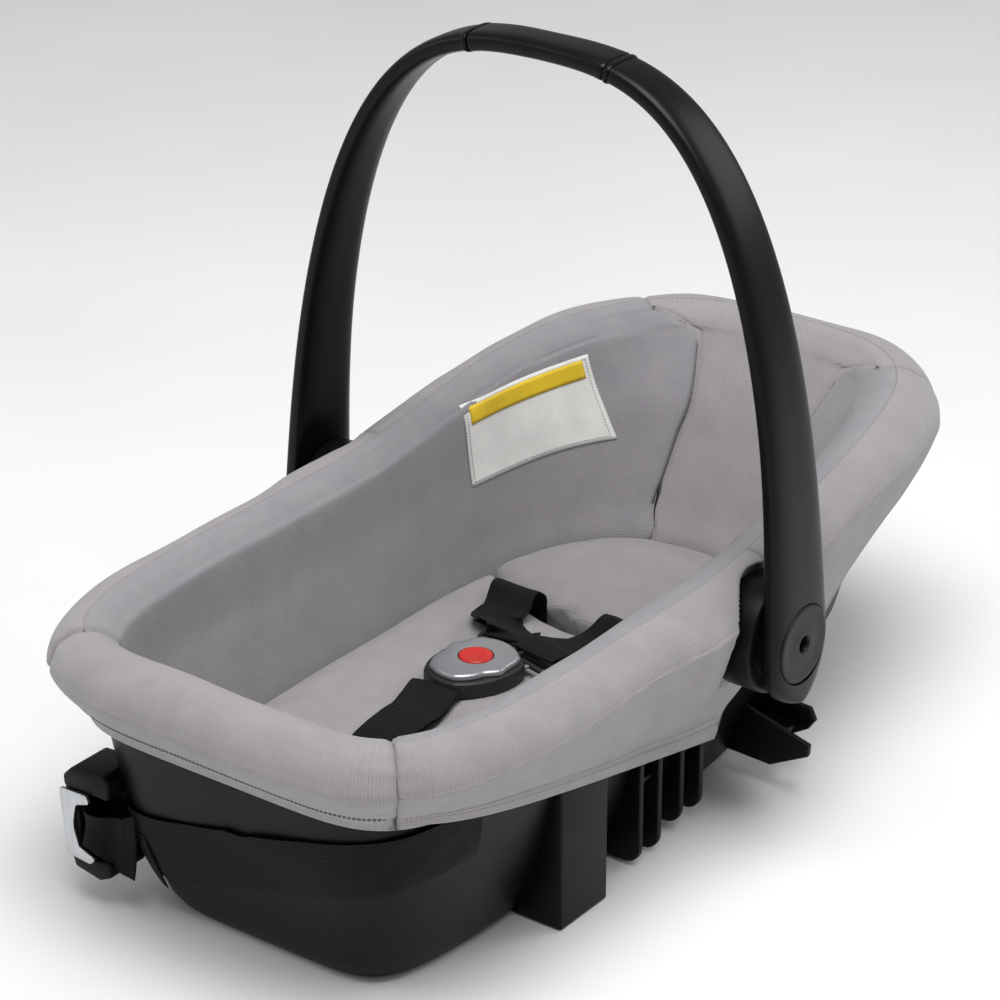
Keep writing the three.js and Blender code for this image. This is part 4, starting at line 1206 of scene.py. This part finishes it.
def laid(name, centre, size, tilt, mat, tree, nu, nv, side=-1, lift=0.5, relax=6,
         slot="grey_fabric"):
    """A thin label laid on a side wall: centre and size in mm in the YZ plane, tilt in degrees."""
    grid = np.zeros((nu, nv, 3))
    norm = np.zeros((nu, nv, 3))
    turn = math.radians(tilt)
    for i in range(nu):
        for j in range(nv):
            u, v = (i / (nu - 1) - 0.5) * size[0], (0.5 - j / (nv - 1)) * size[1]
            found = side_hit(tree, centre[0] + u * math.cos(turn) - v * math.sin(turn),
                             centre[1] + u * math.sin(turn) + v * math.cos(turn), side)
            if found is None:
                found = (grid[i, j - 1], norm[i, j - 1])
            grid[i, j], norm[i, j] = found
    for _ in range(relax):
        soft_grid = grid.copy()
        soft_grid[1:-1] = (grid[:-2] + 2 * grid[1:-1] + grid[2:]) / 4
        grid = soft_grid.copy()
        soft_grid[:, 1:-1] = (grid[:, :-2] + 2 * grid[:, 1:-1] + grid[:, 2:]) / 4
        grid = soft_grid
    face = norm.mean(axis=(0, 1))
    face /= np.linalg.norm(face)
    return *slab(name, grid, face, mat, lift, slot), grid, face


def slab(name, grid, face, mat, lift, slot="grey_fabric"):
    """A grid thickened to a thin closed sheet, and its measured size."""
    nu, nv = grid.shape[:2]
    top = grid + face * (lift + 0.35)
    low = grid + face * (lift - 0.15)
    verts = np.vstack([top.reshape(-1, 3), low.reshape(-1, 3)])
    faces = []
    n = nu * nv
    for i in range(nu - 1):
        for j in range(nv - 1):
            q = [i * nv + j, (i + 1) * nv + j, (i + 1) * nv + j + 1, i * nv + j + 1]
            faces.append(tuple(q))
            faces.append(tuple(n + k for k in q[::-1]))
    rim = [(i, 0) for i in range(nu)] + [(nu - 1, j) for j in range(1, nv)] + \
          [(i, nv - 1) for i in range(nu - 2, -1, -1)] + [(0, j) for j in range(nv - 2, 0, -1)]
    rim = [i * nv + j for i, j in rim]
    for k in range(len(rim)):
        m = rim[(k + 1) % len(rim)]
        faces.append((rim[k], m, n + m, n + rim[k]))
    obj = put(name, verts, faces, mat, slot=slot)
    size = [float(np.linalg.norm(np.diff(grid[:, nv // 2], axis=0), axis=1).sum()) * MM,
            float(np.linalg.norm(np.diff(grid[nu // 2], axis=0), axis=1).sum()) * MM]
    return obj, size


TAG_AT, TAG_SIZE, TAG_TILT = (147, 184), (128, 64), 2
tag, tag_size, tag_grid, tag_face = laid(
    "care_tag", TAG_AT, TAG_SIZE, TAG_TILT, tag_mat, inner_tree, 40, 24)
band, band_size = slab("care_tag_band", tag_grid[2:-2, 1:7], tag_face, tag_yellow, 1.1)
edge_lines = []
for line in (tag_grid[1:-1, 1], tag_grid[1:-1, -2], tag_grid[1, 1:-1], tag_grid[-2, 1:-1]):
    edge_lines.append((line + tag_face * 0.95, [tag_face] * len(line)))
stitches("tag_stitch", edge_lines, thread_mat, (1.2, 0.3), 2.4, slot="grey_fabric")


def hem_lines(rings, ks):
    out = []
    for k in ks:
        line = rings[2:-2, k]
        inner = rings[2:-2, :OUTER].mean(axis=1)
        nrm = line - inner
        nrm[:, 2] *= 0.3
        nrm /= np.linalg.norm(nrm, axis=1, keepdims=True)
        out.append((line + nrm * 0.25, nrm))
    return out


hem_rows = []
for rings in (foot_rings, right_rings, left_rings):
    hem_rows += hem_lines(rings, (OUTER - 9, OUTER - 6))
stitches("hem_stitch", hem_rows, thread_mat, (2.0, 0.35), 3.2, slot="grey_fabric")

# blank rating sticker on the tub wall behind each handle joint
for side, flip in (("right", 1), ("left", -1)):
    grid = []
    for t in np.linspace(0, 1, 22):
        col = []
        for u in np.linspace(0, 1, 10):
            z = mix(mix(58, 84, t), mix(92, 116, t), u)
            col.append([tub_point(z, -g, mix(0.21, 0.62, t)) * (flip, 1, 1) for g in (0.25, 0.6)])
        grid.append([c[1] for c in col] + [c[0] for c in col][::-1])
    obj = loft(f"tub_sticker_{side}", grid, tag_mat, slot="shell_plastic", sharp=50)
